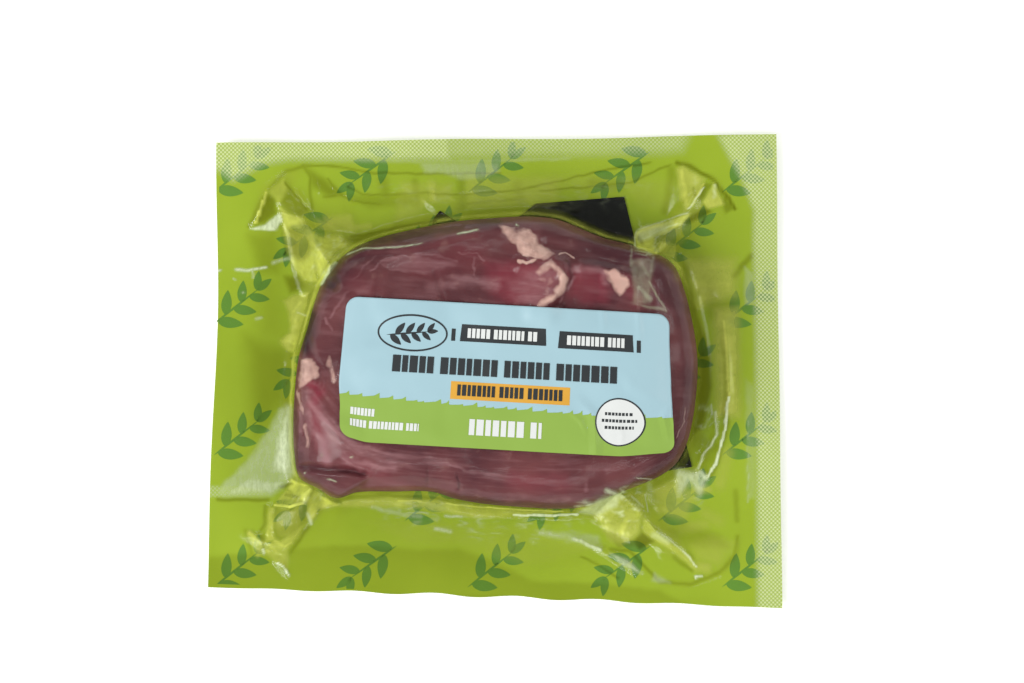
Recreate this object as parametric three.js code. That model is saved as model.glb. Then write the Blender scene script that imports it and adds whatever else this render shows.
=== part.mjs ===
// A vacuum pack of one raw beef tenderloin steak, lying on its back.
// A clear film is drawn down over the steak and over an absorbent pad, onto a printed
// backing film, and a label lies on top. Millimetres, +Z up, +X along the label's length
// towards the right, +Y towards the label's upper edge. The origin is on the surface that
// the pack lies on, in the middle of the pack's outline.
import * as THREE from 'three';
import { mergeVertices } from 'three/addons/utils/BufferGeometryUtils.js';

// The pack: two films cut together, a little out of square.
const topLeft = new THREE.Vector2(-74.6, 61.2);
const topRight = new THREE.Vector2(75.2, 63.45);
const bottomRight = new THREE.Vector2(76.85, -63.45);
const bottomLeft = new THREE.Vector2(-76.85, -57.8);
const backingThickness = 0.4;
const filmThickness = 0.4;
const gap = 0.3;
const filmGap = 0.4;
const flangeLift = 2.4;
const flangeLiftRun = 26;
const flangeWave = 0.5;
const flangeWaveLength = 46;

// The steak: an uneven oval with a flat top and round shoulders.
const steakMiddle = new THREE.Vector2(0, 2);
const steakOutlinePoints = [
  [54, 1.1], [52.5, -13.8], [48.3, -24.4], [38.2, -30.4], [25.3, -35.9], [16.9, -36.6], [-2.9, -35.3],
  [-16.8, -32.1], [-36.7, -32.2], [-42.4, -33.8], [-47.4, -31.1], [-52.1, -28.3], [-53.8, -13.8], [-52.3, 4],
  [-48, 18.9], [-46.5, 22.9], [-44.4, 26.1], [-41.5, 29.9], [-37.1, 33.2], [-21.8, 37.9], [-1.9, 40.8],
  [9, 41.3], [16.4, 40.5], [22.4, 38.2], [28.8, 35.6], [35.7, 33.8], [42.7, 31.6], [47.6, 28.4],
  [50.2, 22.5], [52, 15.9],
];
const steakHeight = 24.5;
const steakWaistHeight = 9;
const steakFootShare = 0.9;
const shoulderUpper = 8.5;
const shoulderLower = 4.6;
const shoulderPower = 2.1;

// Swells and hollows on the steak's top: place, reach and height.
const swells = [
  { x: 4, y: 25, reach: 13, height: 1.3 },
  { x: 30, y: 23, reach: 10, height: -1.4 },
  { x: -47, y: -12, reach: 8, height: 1.1 },
  { x: -24, y: 28, reach: 11, height: 0.9 },
  { x: 8, y: -27, reach: 14, height: 0.8 },
  { x: 40, y: -20, reach: 12, height: -0.8 },
];

// The absorbent pad under the steak, lying askew, its upper edge slack.
const padThickness = 1;
const padTopLeft = new THREE.Vector2(-14, 42.3);
const padTopRight = new THREE.Vector2(34.5, 46.7);
const padBottomRight = new THREE.Vector2(52.7, -25.6);
const padBottomLeft = new THREE.Vector2(6.6, -33.2);
const padSlack = 6;
const padSlackFrom = 0.04;
const padSlackTo = 0.56;

// Tents of film stretched from the steak's corners: the high point, its height over the backing, how fast
// the film falls from it, and the foot line round it.
const tents = [
  {
    top: [-43.5, 28],
    height: 18,
    power: 1.7,
    foot: [
      [-52.5, 19], [-55.5, 30], [-57.5, 41], [-61, 48.3], [-53.2, 47.8], [-50, 42.3], [-36, 38], [-32, 33],
      [-36, 22], [-46, 14],
    ],
  },
  {
    top: [41.5, 30],
    height: 15,
    power: 1.6,
    foot: [
      [36.3, 27], [36.5, 34], [37.6, 38.2], [44, 39.6], [48, 43], [51, 48], [54.6, 51.6], [58.8, 50.9],
      [59.6, 45.5], [56, 39.5], [51, 34], [49.5, 30], [50, 24], [44, 20],
    ],
  },
  {
    top: [33, -32],
    height: 12,
    power: 2.3,
    foot: [
      [20, -36], [24, -41], [30, -46], [37, -49], [44, -49], [50, -52], [56.5, -55], [55.4, -50.8],
      [50.4, -44.6], [45.6, -38.6], [43.8, -34], [43.5, -30], [36, -24],
    ],
  },
  {
    top: [-48.5, -30.5],
    height: 11,
    power: 2,
    foot: [
      [-55, -26], [-57.5, -31.5], [-60.2, -35.5], [-62, -39.5], [-65.5, -43.6], [-62.8, -46.4], [-60.5, -49.6],
      [-57.2, -50.4], [-54, -47], [-51, -43.5], [-48, -41], [-45, -38], [-39, -35.5], [-40, -26],
    ],
  },
];

// The turns over which a tent's reach is averaged, so that no sharp edge runs down its sides.
const tentTurns = [-0.09, -0.045, 0, 0.045, 0.09];

// Folds of slack film: the crest's points with their heights over the backing, and the half width.
const folds = [
  { halfWidth: 5, crest: [[-64.3, 39.9, 0.8], [-60.8, 48, 2.8], [-57, 51, 2.6], [-51.5, 54.5, 0.8]] },
  { halfWidth: 5, crest: [[50.8, 55.2, 0.6], [51.2, 50, 2], [50.2, 43, 2.2]] },
  { halfWidth: 4, crest: [[20, -44.4, 0.6], [33.2, -50.4, 1.6], [46, -55.7, 1.2], [62, -53, 1.2]] },
  { halfWidth: 5, crest: [[-66.6, -43.2, 0.8], [-60, -45.8, 2.4], [-52, -42.4, 1.4]] },
  { halfWidth: 4, crest: [[61.3, 12.7, 0.6], [62.6, -5.8, 1.4], [59.3, -23.2, 2], [54.7, -29.8, 2], [49, -28.4, 1.6]] },
];

// The label, lying askew on top of the film.
const labelLength = 88.9;
const labelWidth = 38.1;
const labelThickness = 0.3;
const labelCentre = new THREE.Vector2(2.5, -1.5);
const labelTurn = THREE.MathUtils.degToRad(-3.2);
const labelCornerRadius = 2.3;
const labelGap = 0.45;

// How finely the round pieces are divided.
const turnSteps = 96;
const steakShares = [0.3, 0.55, 0.72, 0.84, 0.92, 0.97];
const filmRings = [0.04, 0.1, 0.19, 0.3, 0.43, 0.57, 0.72, 0.86, 1];
const backingRings = [0.2, 0.33, 0.48, 0.64, 0.82, 1];

// The pack's outline, each side cut with a shallow wave that dies out at the corners.
function cutSide(from, to, waves, depth, phase) {
  const points = [];
  const along = to.clone().sub(from);
  const outwards = new THREE.Vector2(along.y, -along.x).normalize();
  const steps = 40;
  for (let i = 0; i < steps; i += 1) {
    const share = i / steps;
    const wave = depth * Math.sin(Math.PI * share) * (Math.sin(2 * Math.PI * waves * share + phase) - 1);
    points.push(from.clone().addScaledVector(along, share).addScaledVector(outwards, wave));
  }
  return points;
}

const packOutline = [
  ...cutSide(topRight, topLeft, 2, 0.3, 0.5),
  ...cutSide(topLeft, bottomLeft, 1, 0.7, 2.6),
  ...cutSide(bottomLeft, bottomRight, 7, 0.4, 0),
  ...cutSide(bottomRight, topRight, 2, 0.1, 2),
];

const steakOutline = new THREE.CatmullRomCurve3(
  steakOutlinePoints.map(([x, y]) => new THREE.Vector3(x, y, 0)),
  true,
  'centripetal',
).getPoints(240).map((point) => new THREE.Vector2(point.x, point.y));

// The distance from a middle point to an outline, along the ray at this angle.
function reach(outline, angle, middle = steakMiddle) {
  const ray = new THREE.Vector2(Math.cos(angle), Math.sin(angle));
  let longest = 0;
  for (let i = 0; i < outline.length; i += 1) {
    const a = outline[i].clone().sub(middle);
    const side = outline[(i + 1) % outline.length].clone().sub(middle).sub(a);
    const turn = ray.cross(side);
    if (Math.abs(turn) < 1e-9) continue;
    const share = a.cross(ray) / turn;
    const length = a.cross(side) / turn;
    if (share >= 0 && share <= 1 && length > longest) longest = length;
  }
  return longest;
}

// The angles of the rays, with the nearest ray turned onto each corner of the pack.
const rays = Array.from({ length: turnSteps }, (_, i) => (2 * Math.PI * i) / turnSteps);
for (const corner of [topLeft, topRight, bottomRight, bottomLeft]) {
  const angle = corner.clone().sub(steakMiddle).angle();
  rays[Math.round((angle * turnSteps) / (2 * Math.PI)) % turnSteps] = angle;
}
const steakReach = rays.map((angle) => reach(steakOutline, angle));
const packReach = rays.map((angle) => reach(packOutline, angle));

const polar = (angle, radius) => new THREE.Vector2(
  steakMiddle.x + radius * Math.cos(angle),
  steakMiddle.y + radius * Math.sin(angle),
);

// Where a point lies on its ray: the steak's reach there, and how far outside the steak it is.
function fromSteak(point) {
  const offset = point.clone().sub(steakMiddle);
  const angle = offset.angle();
  const steak = reach(steakOutline, angle);
  const pack = reach(packOutline, angle);
  const outside = offset.length() - steak;
  return { angle, steak, radius: offset.length(), outside, edgeShare: outside / (pack - steak) };
}

// The backing lies flat under the steak and rises in a slack wave towards its edges.
function lift(point) {
  const { outside, edgeShare } = fromSteak(point);
  if (outside <= 0) return 0;
  const rise = THREE.MathUtils.smoothstep(outside, 0, flangeLiftRun);
  const along = (point.x + 0.6 * point.y) * ((2 * Math.PI) / flangeWaveLength);
  return flangeLift * rise + flangeWave * Math.sin(along) * Math.min(edgeShare, 1) ** 2 * rise;
}

const steakBase = backingThickness + gap + padThickness + gap;

// The steak's top: flat in the middle, falling off steeply at its upper side and gently at its lower side.
function steakTop(angle, share, point) {
  const lowness = (1 - Math.sin(angle)) / 2;
  const flatness = THREE.MathUtils.lerp(shoulderUpper, shoulderLower, lowness);
  const fall = Math.max(0, 1 - share ** flatness) ** (1 / shoulderPower);
  let swell = 0;
  for (const { x, y, reach: size, height } of swells) {
    const away = point.distanceTo(new THREE.Vector2(x, y)) / size;
    swell += height * Math.exp(-away * away);
  }
  return steakWaistHeight + (steakHeight - steakWaistHeight + swell) * fall;
}

// The height of the highest tent or fold over this point.
function foldHeight(point) {
  let highest = 0;
  for (const { top, height, power, foot } of tents) {
    const middle = new THREE.Vector2(...top);
    const offset = point.clone().sub(middle);
    const outline = foot.map(([x, y]) => new THREE.Vector2(x, y));
    const runs = tentTurns.map((turn) => reach(outline, offset.angle() + turn, middle));
    const run = runs.reduce((sum, value) => sum + value, 0) / runs.length;
    highest = Math.max(highest, height * Math.max(0, 1 - offset.length() / run) ** power);
  }
  for (const { crest, halfWidth } of folds) {
    for (let i = 0; i + 1 < crest.length; i += 1) {
      const [ax, ay, az] = crest[i];
      const [bx, by, bz] = crest[i + 1];
      const along = new THREE.Vector2(bx - ax, by - ay);
      const offset = new THREE.Vector2(point.x - ax, point.y - ay);
      const share = THREE.MathUtils.clamp(offset.dot(along) / along.lengthSq(), 0, 1);
      const away = offset.addScaledVector(along, -share).length() / halfWidth;
      const height = THREE.MathUtils.lerp(az, bz, share) * Math.max(0, 1 - away) ** 1.3;
      highest = Math.max(highest, height);
    }
  }
  return highest;
}

// The pad's outline as a patch: u runs along its upper edge, v down to its lower edge.
function padPoint(u, v) {
  const upper = padTopLeft.clone().lerp(padTopRight, u);
  const slackShare = (u - padSlackFrom) / (padSlackTo - padSlackFrom);
  if (slackShare > 0 && slackShare < 1) upper.y -= padSlack * Math.sin(Math.PI * slackShare);
  return upper.lerp(padBottomLeft.clone().lerp(padBottomRight, u), v);
}

// How much of the pad's thickness the film has to clear at this point, falling off round the pad.
const padCornersRound = [[0, 0], [1, 0], [1, 1], [0, 1]].map(([u, v]) => padPoint(u, v));
function padCover(point) {
  let inside = Infinity;
  for (let i = 0; i < padCornersRound.length; i += 1) {
    const a = padCornersRound[i];
    const side = padCornersRound[(i + 1) % padCornersRound.length].clone().sub(a).normalize();
    inside = Math.min(inside, point.clone().sub(a).cross(side));
  }
  return THREE.MathUtils.smoothstep(inside, -7, -3.5) * (padThickness + gap);
}

// The film's lower face outside the steak, falling from the steak's waist to the backing.
const drapeRun = 2;
function filmOutside(point, outside) {
  const drape = (steakWaistHeight + gap) * Math.exp(-((outside / drapeRun) ** 1.2));
  const floor = lift(point) + backingThickness + filmGap;
  return floor + Math.max(drape, foldHeight(point), padCover(point));
}

// A closed body from a lathe grid whose vertices are moved to place(step, row).
function shapedLathe(rows, place) {
  const profile = Array.from({ length: rows }, (_, row) => new THREE.Vector2(1, row));
  const geometry = new THREE.LatheGeometry(profile, turnSteps);
  const position = geometry.attributes.position;
  for (let i = 0; i < position.count; i += 1) {
    const { x, y, z } = place(Math.floor(i / rows) % turnSteps, i % rows);
    position.setXYZ(i, x, y, z);
  }
  return closed(geometry);
}

// Joins the seams and poles of a geometry and drops the triangles that these close up.
function closed(geometry) {
  geometry.deleteAttribute('normal');
  geometry.deleteAttribute('uv');
  const merged = mergeVertices(geometry, 1e-4);
  const index = Array.from(merged.index.array);
  const kept = [];
  for (let i = 0; i < index.length; i += 3) {
    const [a, b, c] = index.slice(i, i + 3);
    if (a !== b && b !== c && c !== a) kept.push(a, b, c);
  }
  merged.setIndex(kept);
  merged.computeVertexNormals();
  return merged;
}

const raised = (point, z) => new THREE.Vector3(point.x, point.y, z);

// The steak, from the middle of its base round the waist to the middle of its top.
function steakGeometry() {
  const rows = [
    { share: 0, z: steakBase },
    { share: 0.5, z: steakBase },
    { share: steakFootShare, z: steakBase },
    { share: 0.975, z: (steakBase + steakWaistHeight) / 2 },
    { share: 1, z: steakWaistHeight },
    ...[...steakShares].reverse().map((share) => ({ share })),
    { share: 0 },
  ];
  return shapedLathe(rows.length, (step, row) => {
    const { share, z } = rows[row];
    const point = polar(rays[step], share * steakReach[step]);
    return raised(point, z ?? steakTop(rays[step], share, point));
  });
}

// The clear film: its lower face from the middle out to the pack's edge, then its upper face back.
function filmGeometry() {
  const outwards = [
    { share: 0 },
    ...steakShares.map((share) => ({ share })),
    { share: 1 },
    ...filmRings.map((ring) => ({ ring })),
  ];
  const rows = [
    ...outwards.map((row) => ({ ...row, extra: 0 })),
    ...outwards.map((row) => ({ ...row, extra: filmThickness })).reverse(),
  ];
  return shapedLathe(rows.length, (step, row) => {
    const { share, ring, extra } = rows[row];
    const angle = rays[step];
    const steak = steakReach[step] + 2 * gap + extra;
    if (ring === undefined) {
      const point = polar(angle, share * steak);
      const top = steakTop(angle, share, point) + gap;
      const fold = lift(point) + backingThickness + filmGap + foldHeight(point);
      return raised(point, Math.max(top, fold) + extra);
    }
    const point = polar(angle, THREE.MathUtils.lerp(steak, packReach[step], ring));
    const outside = ring * (packReach[step] - steak);
    return raised(point, filmOutside(point, outside) + extra);
  });
}

// The backing film, flat below the steak.
function backingGeometry() {
  const outwards = [{ share: 0 }, { share: 0.55 }, { share: 1 }, ...backingRings.map((ring) => ({ ring }))];
  const rows = [
    ...outwards.map((row) => ({ ...row, extra: 0 })),
    ...outwards.map((row) => ({ ...row, extra: backingThickness })).reverse(),
  ];
  return shapedLathe(rows.length, (step, row) => {
    const { share, ring, extra } = rows[row];
    const steak = steakReach[step];
    const radius = ring === undefined ? share * steak : THREE.MathUtils.lerp(steak, packReach[step], ring);
    const point = polar(rays[step], radius);
    return raised(point, lift(point) + extra);
  });
}

// A thin slab from a box grid, with place(u, v, upper) giving each vertex its place.
function shapedSlab(columns, lines, place) {
  const geometry = new THREE.BoxGeometry(1, 1, 1, columns, lines, 1);
  const position = geometry.attributes.position;
  for (let i = 0; i < position.count; i += 1) {
    const { x, y, z } = place(position.getX(i) + 0.5, position.getY(i) + 0.5, position.getZ(i) > 0);
    position.setXYZ(i, x, y, z);
  }
  return closed(geometry);
}

function padGeometry() {
  return shapedSlab(8, 8, (u, v, upper) => {
    const point = padPoint(u, 1 - v);
    return raised(point, lift(point) + backingThickness + gap + (upper ? padThickness : 0));
  });
}

// The film's upper face on top of the steak.
function filmTop(point) {
  const { angle, steak, radius } = fromSteak(point);
  const share = Math.min(radius / (steak + 2 * gap + filmThickness), 1);
  return steakTop(angle, share, point) + gap + filmThickness;
}

// The label follows the film and has cut corners.
function labelGeometry() {
  const columns = 22;
  const lines = 9;
  const spread = (share, steps, size) => {
    const margin = labelCornerRadius / size;
    const line = Math.round(share * steps);
    if (line === 0 || line === steps) return share - 0.5;
    return THREE.MathUtils.lerp(margin, 1 - margin, (line - 1) / (steps - 2)) - 0.5;
  };
  const cut = labelCornerRadius * (1 - Math.SQRT1_2);
  return shapedSlab(columns, lines, (u, v, upper) => {
    const point = new THREE.Vector2(
      spread(u, columns, labelLength) * labelLength,
      spread(v, lines, labelWidth) * labelWidth,
    );
    if ((u < 0.001 || u > 0.999) && (v < 0.001 || v > 0.999)) {
      point.x -= cut * Math.sign(point.x);
      point.y -= cut * Math.sign(point.y);
    }
    point.rotateAround(new THREE.Vector2(0, 0), labelTurn).add(labelCentre);
    return raised(point, filmTop(point) + labelGap + (upper ? labelThickness : 0));
  });
}

function piece(name, geometry, color, roughness, extra = {}) {
  const material = new THREE.MeshStandardMaterial({ color, roughness, metalness: 0, ...extra });
  const mesh = new THREE.Mesh(geometry, material);
  mesh.name = name;
  return mesh;
}

const group = new THREE.Group();
group.add(
  piece('backing_film', backingGeometry(), 0x9fb840, 0.4),
  piece('absorbent_pad', padGeometry(), 0x1b1d1a, 0.9),
  piece('steak', steakGeometry(), 0x6e3038, 0.45),
  piece('clear_film', filmGeometry(), 0xe9f0c8, 0.08, { transparent: true, opacity: 0.25 }),
  piece('label', labelGeometry(), 0xaad0e0, 0.5),
);

export default group;
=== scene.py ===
"""The looks of a vacuum-packed beef tenderloin steak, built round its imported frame.

The steak and an absorbent pad lie between a printed backing film and a clear film that is
drawn down over them, and a label lies on top. Sizes here are in millimetres and are turned
into metres where a mesh takes its place. +X runs along the label, +Y towards its upper edge
and +Z up out of the backing film, from the middle of the pack's outline.
"""

import logging
import math
from collections.abc import Callable
from dataclasses import dataclass, field
from enum import Enum

import bmesh
import bpy
import numpy as np
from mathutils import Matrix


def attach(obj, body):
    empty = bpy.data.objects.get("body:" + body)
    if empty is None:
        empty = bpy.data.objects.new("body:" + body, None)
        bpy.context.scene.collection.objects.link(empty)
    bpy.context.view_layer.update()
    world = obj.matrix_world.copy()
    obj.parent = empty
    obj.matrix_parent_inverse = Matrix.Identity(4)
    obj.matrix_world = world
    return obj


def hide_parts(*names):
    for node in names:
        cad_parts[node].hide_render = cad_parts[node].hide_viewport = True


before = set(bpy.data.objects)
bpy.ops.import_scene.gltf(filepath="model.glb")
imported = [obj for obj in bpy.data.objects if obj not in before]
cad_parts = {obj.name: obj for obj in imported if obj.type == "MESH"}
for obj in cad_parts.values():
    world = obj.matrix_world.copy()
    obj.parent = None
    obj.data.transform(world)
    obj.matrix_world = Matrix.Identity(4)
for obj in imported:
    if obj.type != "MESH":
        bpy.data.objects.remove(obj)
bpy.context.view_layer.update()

MM = 0.001
BODY = "root"
TINY = 1e-9

log = logging.getLogger("steak_pack")

Array = np.ndarray
BMesh = bmesh.types.BMesh
Piece = bpy.types.Object
Socket = bpy.types.NodeSocket
Spots = tuple[tuple[float, ...], ...]
Place = Callable[[Array, Array], Array]
Draw = Callable[[BMesh], None]
Colour = tuple[float, float, float]


def smooth(value: Array, low: float, high: float) -> Array:
    """A smooth step of value from 0 at low to 1 at high."""
    share = np.clip((value - low) / (high - low), 0.0, 1.0)
    return share * share * (3.0 - 2.0 * share)


def stacked(x: Array, y: Array, z: Array) -> Array:
    """Three arrays of coordinates as one array of points."""
    return np.stack(np.broadcast_arrays(x, y, z), axis=-1)


def loop_curve(points: Spots, steps: int) -> Array:
    """A smooth closed curve through points.

    Args:
        points: The points that the curve passes through, in order.
        steps: How many samples each stretch between two points takes.

    Returns:
        The samples, one row each.
    """
    spots = np.array(points, float)
    count = len(spots)
    samples = []
    for i in range(count):
        a, b, c, d = (spots[(i + k - 1) % count] for k in range(4))
        ta = 0.0
        tb = ta + np.linalg.norm(b - a) ** 0.5
        tc = tb + np.linalg.norm(c - b) ** 0.5
        td = tc + np.linalg.norm(d - c) ** 0.5
        t = np.linspace(tb, tc, steps, endpoint=False)[:, None]
        ab = (tb - t) / (tb - ta) * a + (t - ta) / (tb - ta) * b
        bc = (tc - t) / (tc - tb) * b + (t - tb) / (tc - tb) * c
        cd = (td - t) / (td - tc) * c + (t - tc) / (td - tc) * d
        abc = (tc - t) / (tc - ta) * ab + (t - ta) / (tc - ta) * bc
        bcd = (td - t) / (td - tb) * bc + (t - tb) / (td - tb) * cd
        samples.append((tc - t) / (tc - tb) * abc + (t - tb) / (tc - tb) * bcd)
    return np.concatenate(samples)


class Profile(Enum):
    """How a fold or a patch falls off from its crest line."""

    TENT = "straight slopes up to a crest"
    ROUND = "a rounded swell"
    PATCH = "full across, soft at its rim"


@dataclass(frozen=True)
class Stroke:
    """A line drawn over the plane with a width: a fold's crest, or a patch of colour.

    Each point is x and y, and may have its own level as a third number.
    """

    points: Spots
    half_width: float
    level: float = 1.0
    profile: Profile = Profile.ROUND

    def at(self, x: Array, y: Array) -> Array:
        """The stroke's level at each point."""
        spots = [spot if len(spot) == 3 else (*spot, 1.0) for spot in self.points]
        if len(spots) == 1:
            spots = spots * 2
        highest = np.zeros_like(x)
        for (ax, ay, az), (bx, by, bz) in zip(spots[:-1], spots[1:]):
            length = max((bx - ax) ** 2 + (by - ay) ** 2, TINY)
            share = np.clip(((x - ax) * (bx - ax) + (y - ay) * (by - ay)) / length, 0.0, 1.0)
            away = np.hypot(x - ax - share * (bx - ax), y - ay - share * (by - ay)) / self.half_width
            highest = np.maximum(highest, (az + share * (bz - az)) * self.shape(away))
        return self.level * highest

    def along(self, x: Array, y: Array) -> tuple[Array, Array]:
        """How far along the stroke each point lies, and how far to its side."""
        run, side, start = np.zeros_like(x), np.full_like(x, np.inf), 0.0
        spots = [spot[:2] for spot in self.points]
        for (ax, ay), (bx, by) in zip(spots[:-1], spots[1:]):
            length = math.hypot(bx - ax, by - ay)
            share = np.clip(((x - ax) * (bx - ax) + (y - ay) * (by - ay)) / length ** 2, 0.0, 1.0)
            away = np.hypot(x - ax - share * (bx - ax), y - ay - share * (by - ay))
            nearer = away < np.abs(side)
            turn = np.sign((bx - ax) * (y - ay) - (by - ay) * (x - ax))
            run = np.where(nearer, start + share * length, run)
            side = np.where(nearer, turn * away, side)
            start += length
        return run, side

    def shape(self, away: Array) -> Array:
        """The profile's height, from 1 on the crest to 0 at the half width."""
        near = np.clip(1.0 - away, 0.0, 1.0)
        if self.profile is Profile.TENT:
            return near ** 1.15
        if self.profile is Profile.PATCH:
            return smooth(near, 0.0, 0.35)
        return near * near * (3.0 - 2.0 * near)


@dataclass(frozen=True)
class Area:
    """A patch with straight sides over the plane, full inside and soft over its rim."""

    points: Spots
    level: float = 1.0
    rim: float = 0.6

    def at(self, x: Array, y: Array) -> Array:
        """The patch's level at each point."""
        inside = np.zeros(x.shape, bool)
        nearest = np.full_like(x, np.inf)
        for (ax, ay), (bx, by) in zip(self.points, self.points[1:] + self.points[:1]):
            dx, dy = bx - ax, by - ay
            share = np.clip(((x - ax) * dx + (y - ay) * dy) / (dx * dx + dy * dy), 0.0, 1.0)
            nearest = np.minimum(nearest, np.hypot(x - ax - share * dx, y - ay - share * dy))
            crossed = ((ay > y) != (by > y)) & (x < ax + (y - ay) * dx / (dy if dy else TINY))
            inside ^= crossed
        return self.level * smooth(np.where(inside, nearest, -nearest), -self.rim, self.rim)


def strokes(
    *rows: tuple[float, ...],
    numbers: int = 2,
    profile: Profile = Profile.ROUND,
) -> tuple[Stroke, ...]:
    """Strokes from rows of numbers.

    Args:
        rows: For each stroke its half width, its level and then the numbers of its points.
        numbers: How many numbers a point has: 2 for x and y, 3 with a level of its own.
        profile: How all of them fall off to their sides.

    Returns:
        The strokes, in the rows' order.
    """
    return tuple(
        Stroke(tuple(row[i:i + numbers] for i in range(2, len(row), numbers)), row[0], row[1], profile)
        for row in rows
    )


def areas(*rows: tuple[float, ...]) -> tuple[Area, ...]:
    """Areas from rows of numbers: a level, a rim and then x and y of each corner."""
    return tuple(Area(tuple(zip(row[2::2], row[3::2])), row[0], row[1]) for row in rows)


def strongest(marks: tuple[Stroke | Area, ...], x: Array, y: Array) -> Array:
    """The highest level of a set of marks at each point."""
    return np.max([mark.at(x, y) for mark in marks], axis=0)


def add_leaf(bm: BMesh, x: float, y: float, turn: float, length: float, width: float) -> None:
    """Adds one flat leaf in millimetres, from its foot at (x, y) along turn."""
    made = bmesh.ops.create_grid(bm, x_segments=14, y_segments=3, size=1.0)["verts"]
    for vertex in made:
        share = (vertex.co.x + 1) / 2
        across = vertex.co.y * width / 2 * math.sin(math.pi * share ** 0.8) ** 0.8
        along = share * length
        vertex.co.x = (x + along * math.cos(turn) - across * math.sin(turn)) * MM
        vertex.co.y = (y + along * math.sin(turn) + across * math.cos(turn)) * MM


def add_sprig(
    bm: BMesh,
    x: float,
    y: float,
    turn: float,
    length: float,
    leaf: float,
    leaves: int,
) -> None:
    """Adds one sprig about (x, y): a stem with leaves in turn on its two sides and one at its tip.

    Args:
        bm: The mesh that takes it.
        x: The sprig's middle.
        y: The sprig's middle.
        turn: The way that the stem points.
        length: The sprig's length.
        leaf: The largest leaf's length.
        leaves: How many leaves the stem bears at its sides.
    """
    along = (math.cos(turn), math.sin(turn))
    foot_x, foot_y = x - along[0] * length / 2, y - along[1] * length / 2
    add_leaf(bm, foot_x, foot_y, turn, length * 0.86, length * 0.032)
    for i in range(leaves):
        share = 0.08 + 0.7 * i / (leaves - 1)
        side = 1 if i % 2 else -1
        size = leaf * (1.0 - 0.35 * share)
        spot_x, spot_y = foot_x + along[0] * length * share, foot_y + along[1] * length * share
        add_leaf(bm, spot_x, spot_y, turn + side * math.radians(46), size, size * 0.42)
    tip = 0.78 * length
    add_leaf(bm, foot_x + along[0] * tip, foot_y + along[1] * tip, turn, leaf * 0.7, leaf * 0.29)


@dataclass(frozen=True)
class Noise:
    """Seeded gradient noise over the plane, from about -1 to 1."""

    seed: int
    size: float
    stretch: float = 1.0
    turn: float = 0.0
    cells: int = 128

    def at(self, x: Array, y: Array) -> Array:
        """The noise at each point."""
        angles = np.random.default_rng(self.seed).uniform(0, 2 * math.pi, (self.cells, self.cells))
        along, across = math.cos(self.turn), math.sin(self.turn)
        u = (x * along + y * across) / (self.size * self.stretch) + 40.0
        v = (y * along - x * across) / self.size + 40.0
        column, line = np.floor(u).astype(int), np.floor(v).astype(int)
        fu, fv = u - column, v - line

        def corner(du: int, dv: int) -> Array:
            """The slope of one corner of the cell times the way from it."""
            angle = angles[(column + du) % self.cells, (line + dv) % self.cells]
            return np.cos(angle) * (fu - du) + np.sin(angle) * (fv - dv)

        su = fu ** 3 * (fu * (fu * 6 - 15) + 10)
        sv = fv ** 3 * (fv * (fv * 6 - 15) + 10)
        low = corner(0, 0) + su * (corner(1, 0) - corner(0, 0))
        high = corner(0, 1) + su * (corner(1, 1) - corner(0, 1))
        return 1.5 * (low + sv * (high - low))

    def creased(self, x: Array, y: Array) -> Array:
        """Sharp crests where the noise crosses zero, from 0 to 1."""
        return np.clip(1.0 - 2.2 * np.abs(self.at(x, y)), 0.0, 1.0)


@dataclass(frozen=True)
class Outline:
    """A closed outline as its reach from a middle point at each angle."""

    middle: tuple[float, float]
    points: Array

    def reach(self, angle: Array) -> Array:
        """The distance from the middle to the outline at each angle."""
        away = self.points - np.array(self.middle)
        angles = np.arctan2(away[:, 1], away[:, 0]) % (2 * math.pi)
        order = np.argsort(angles)
        radii = np.hypot(away[:, 0], away[:, 1])
        return np.interp(angle % (2 * math.pi), angles[order], radii[order], period=2 * math.pi)


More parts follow.
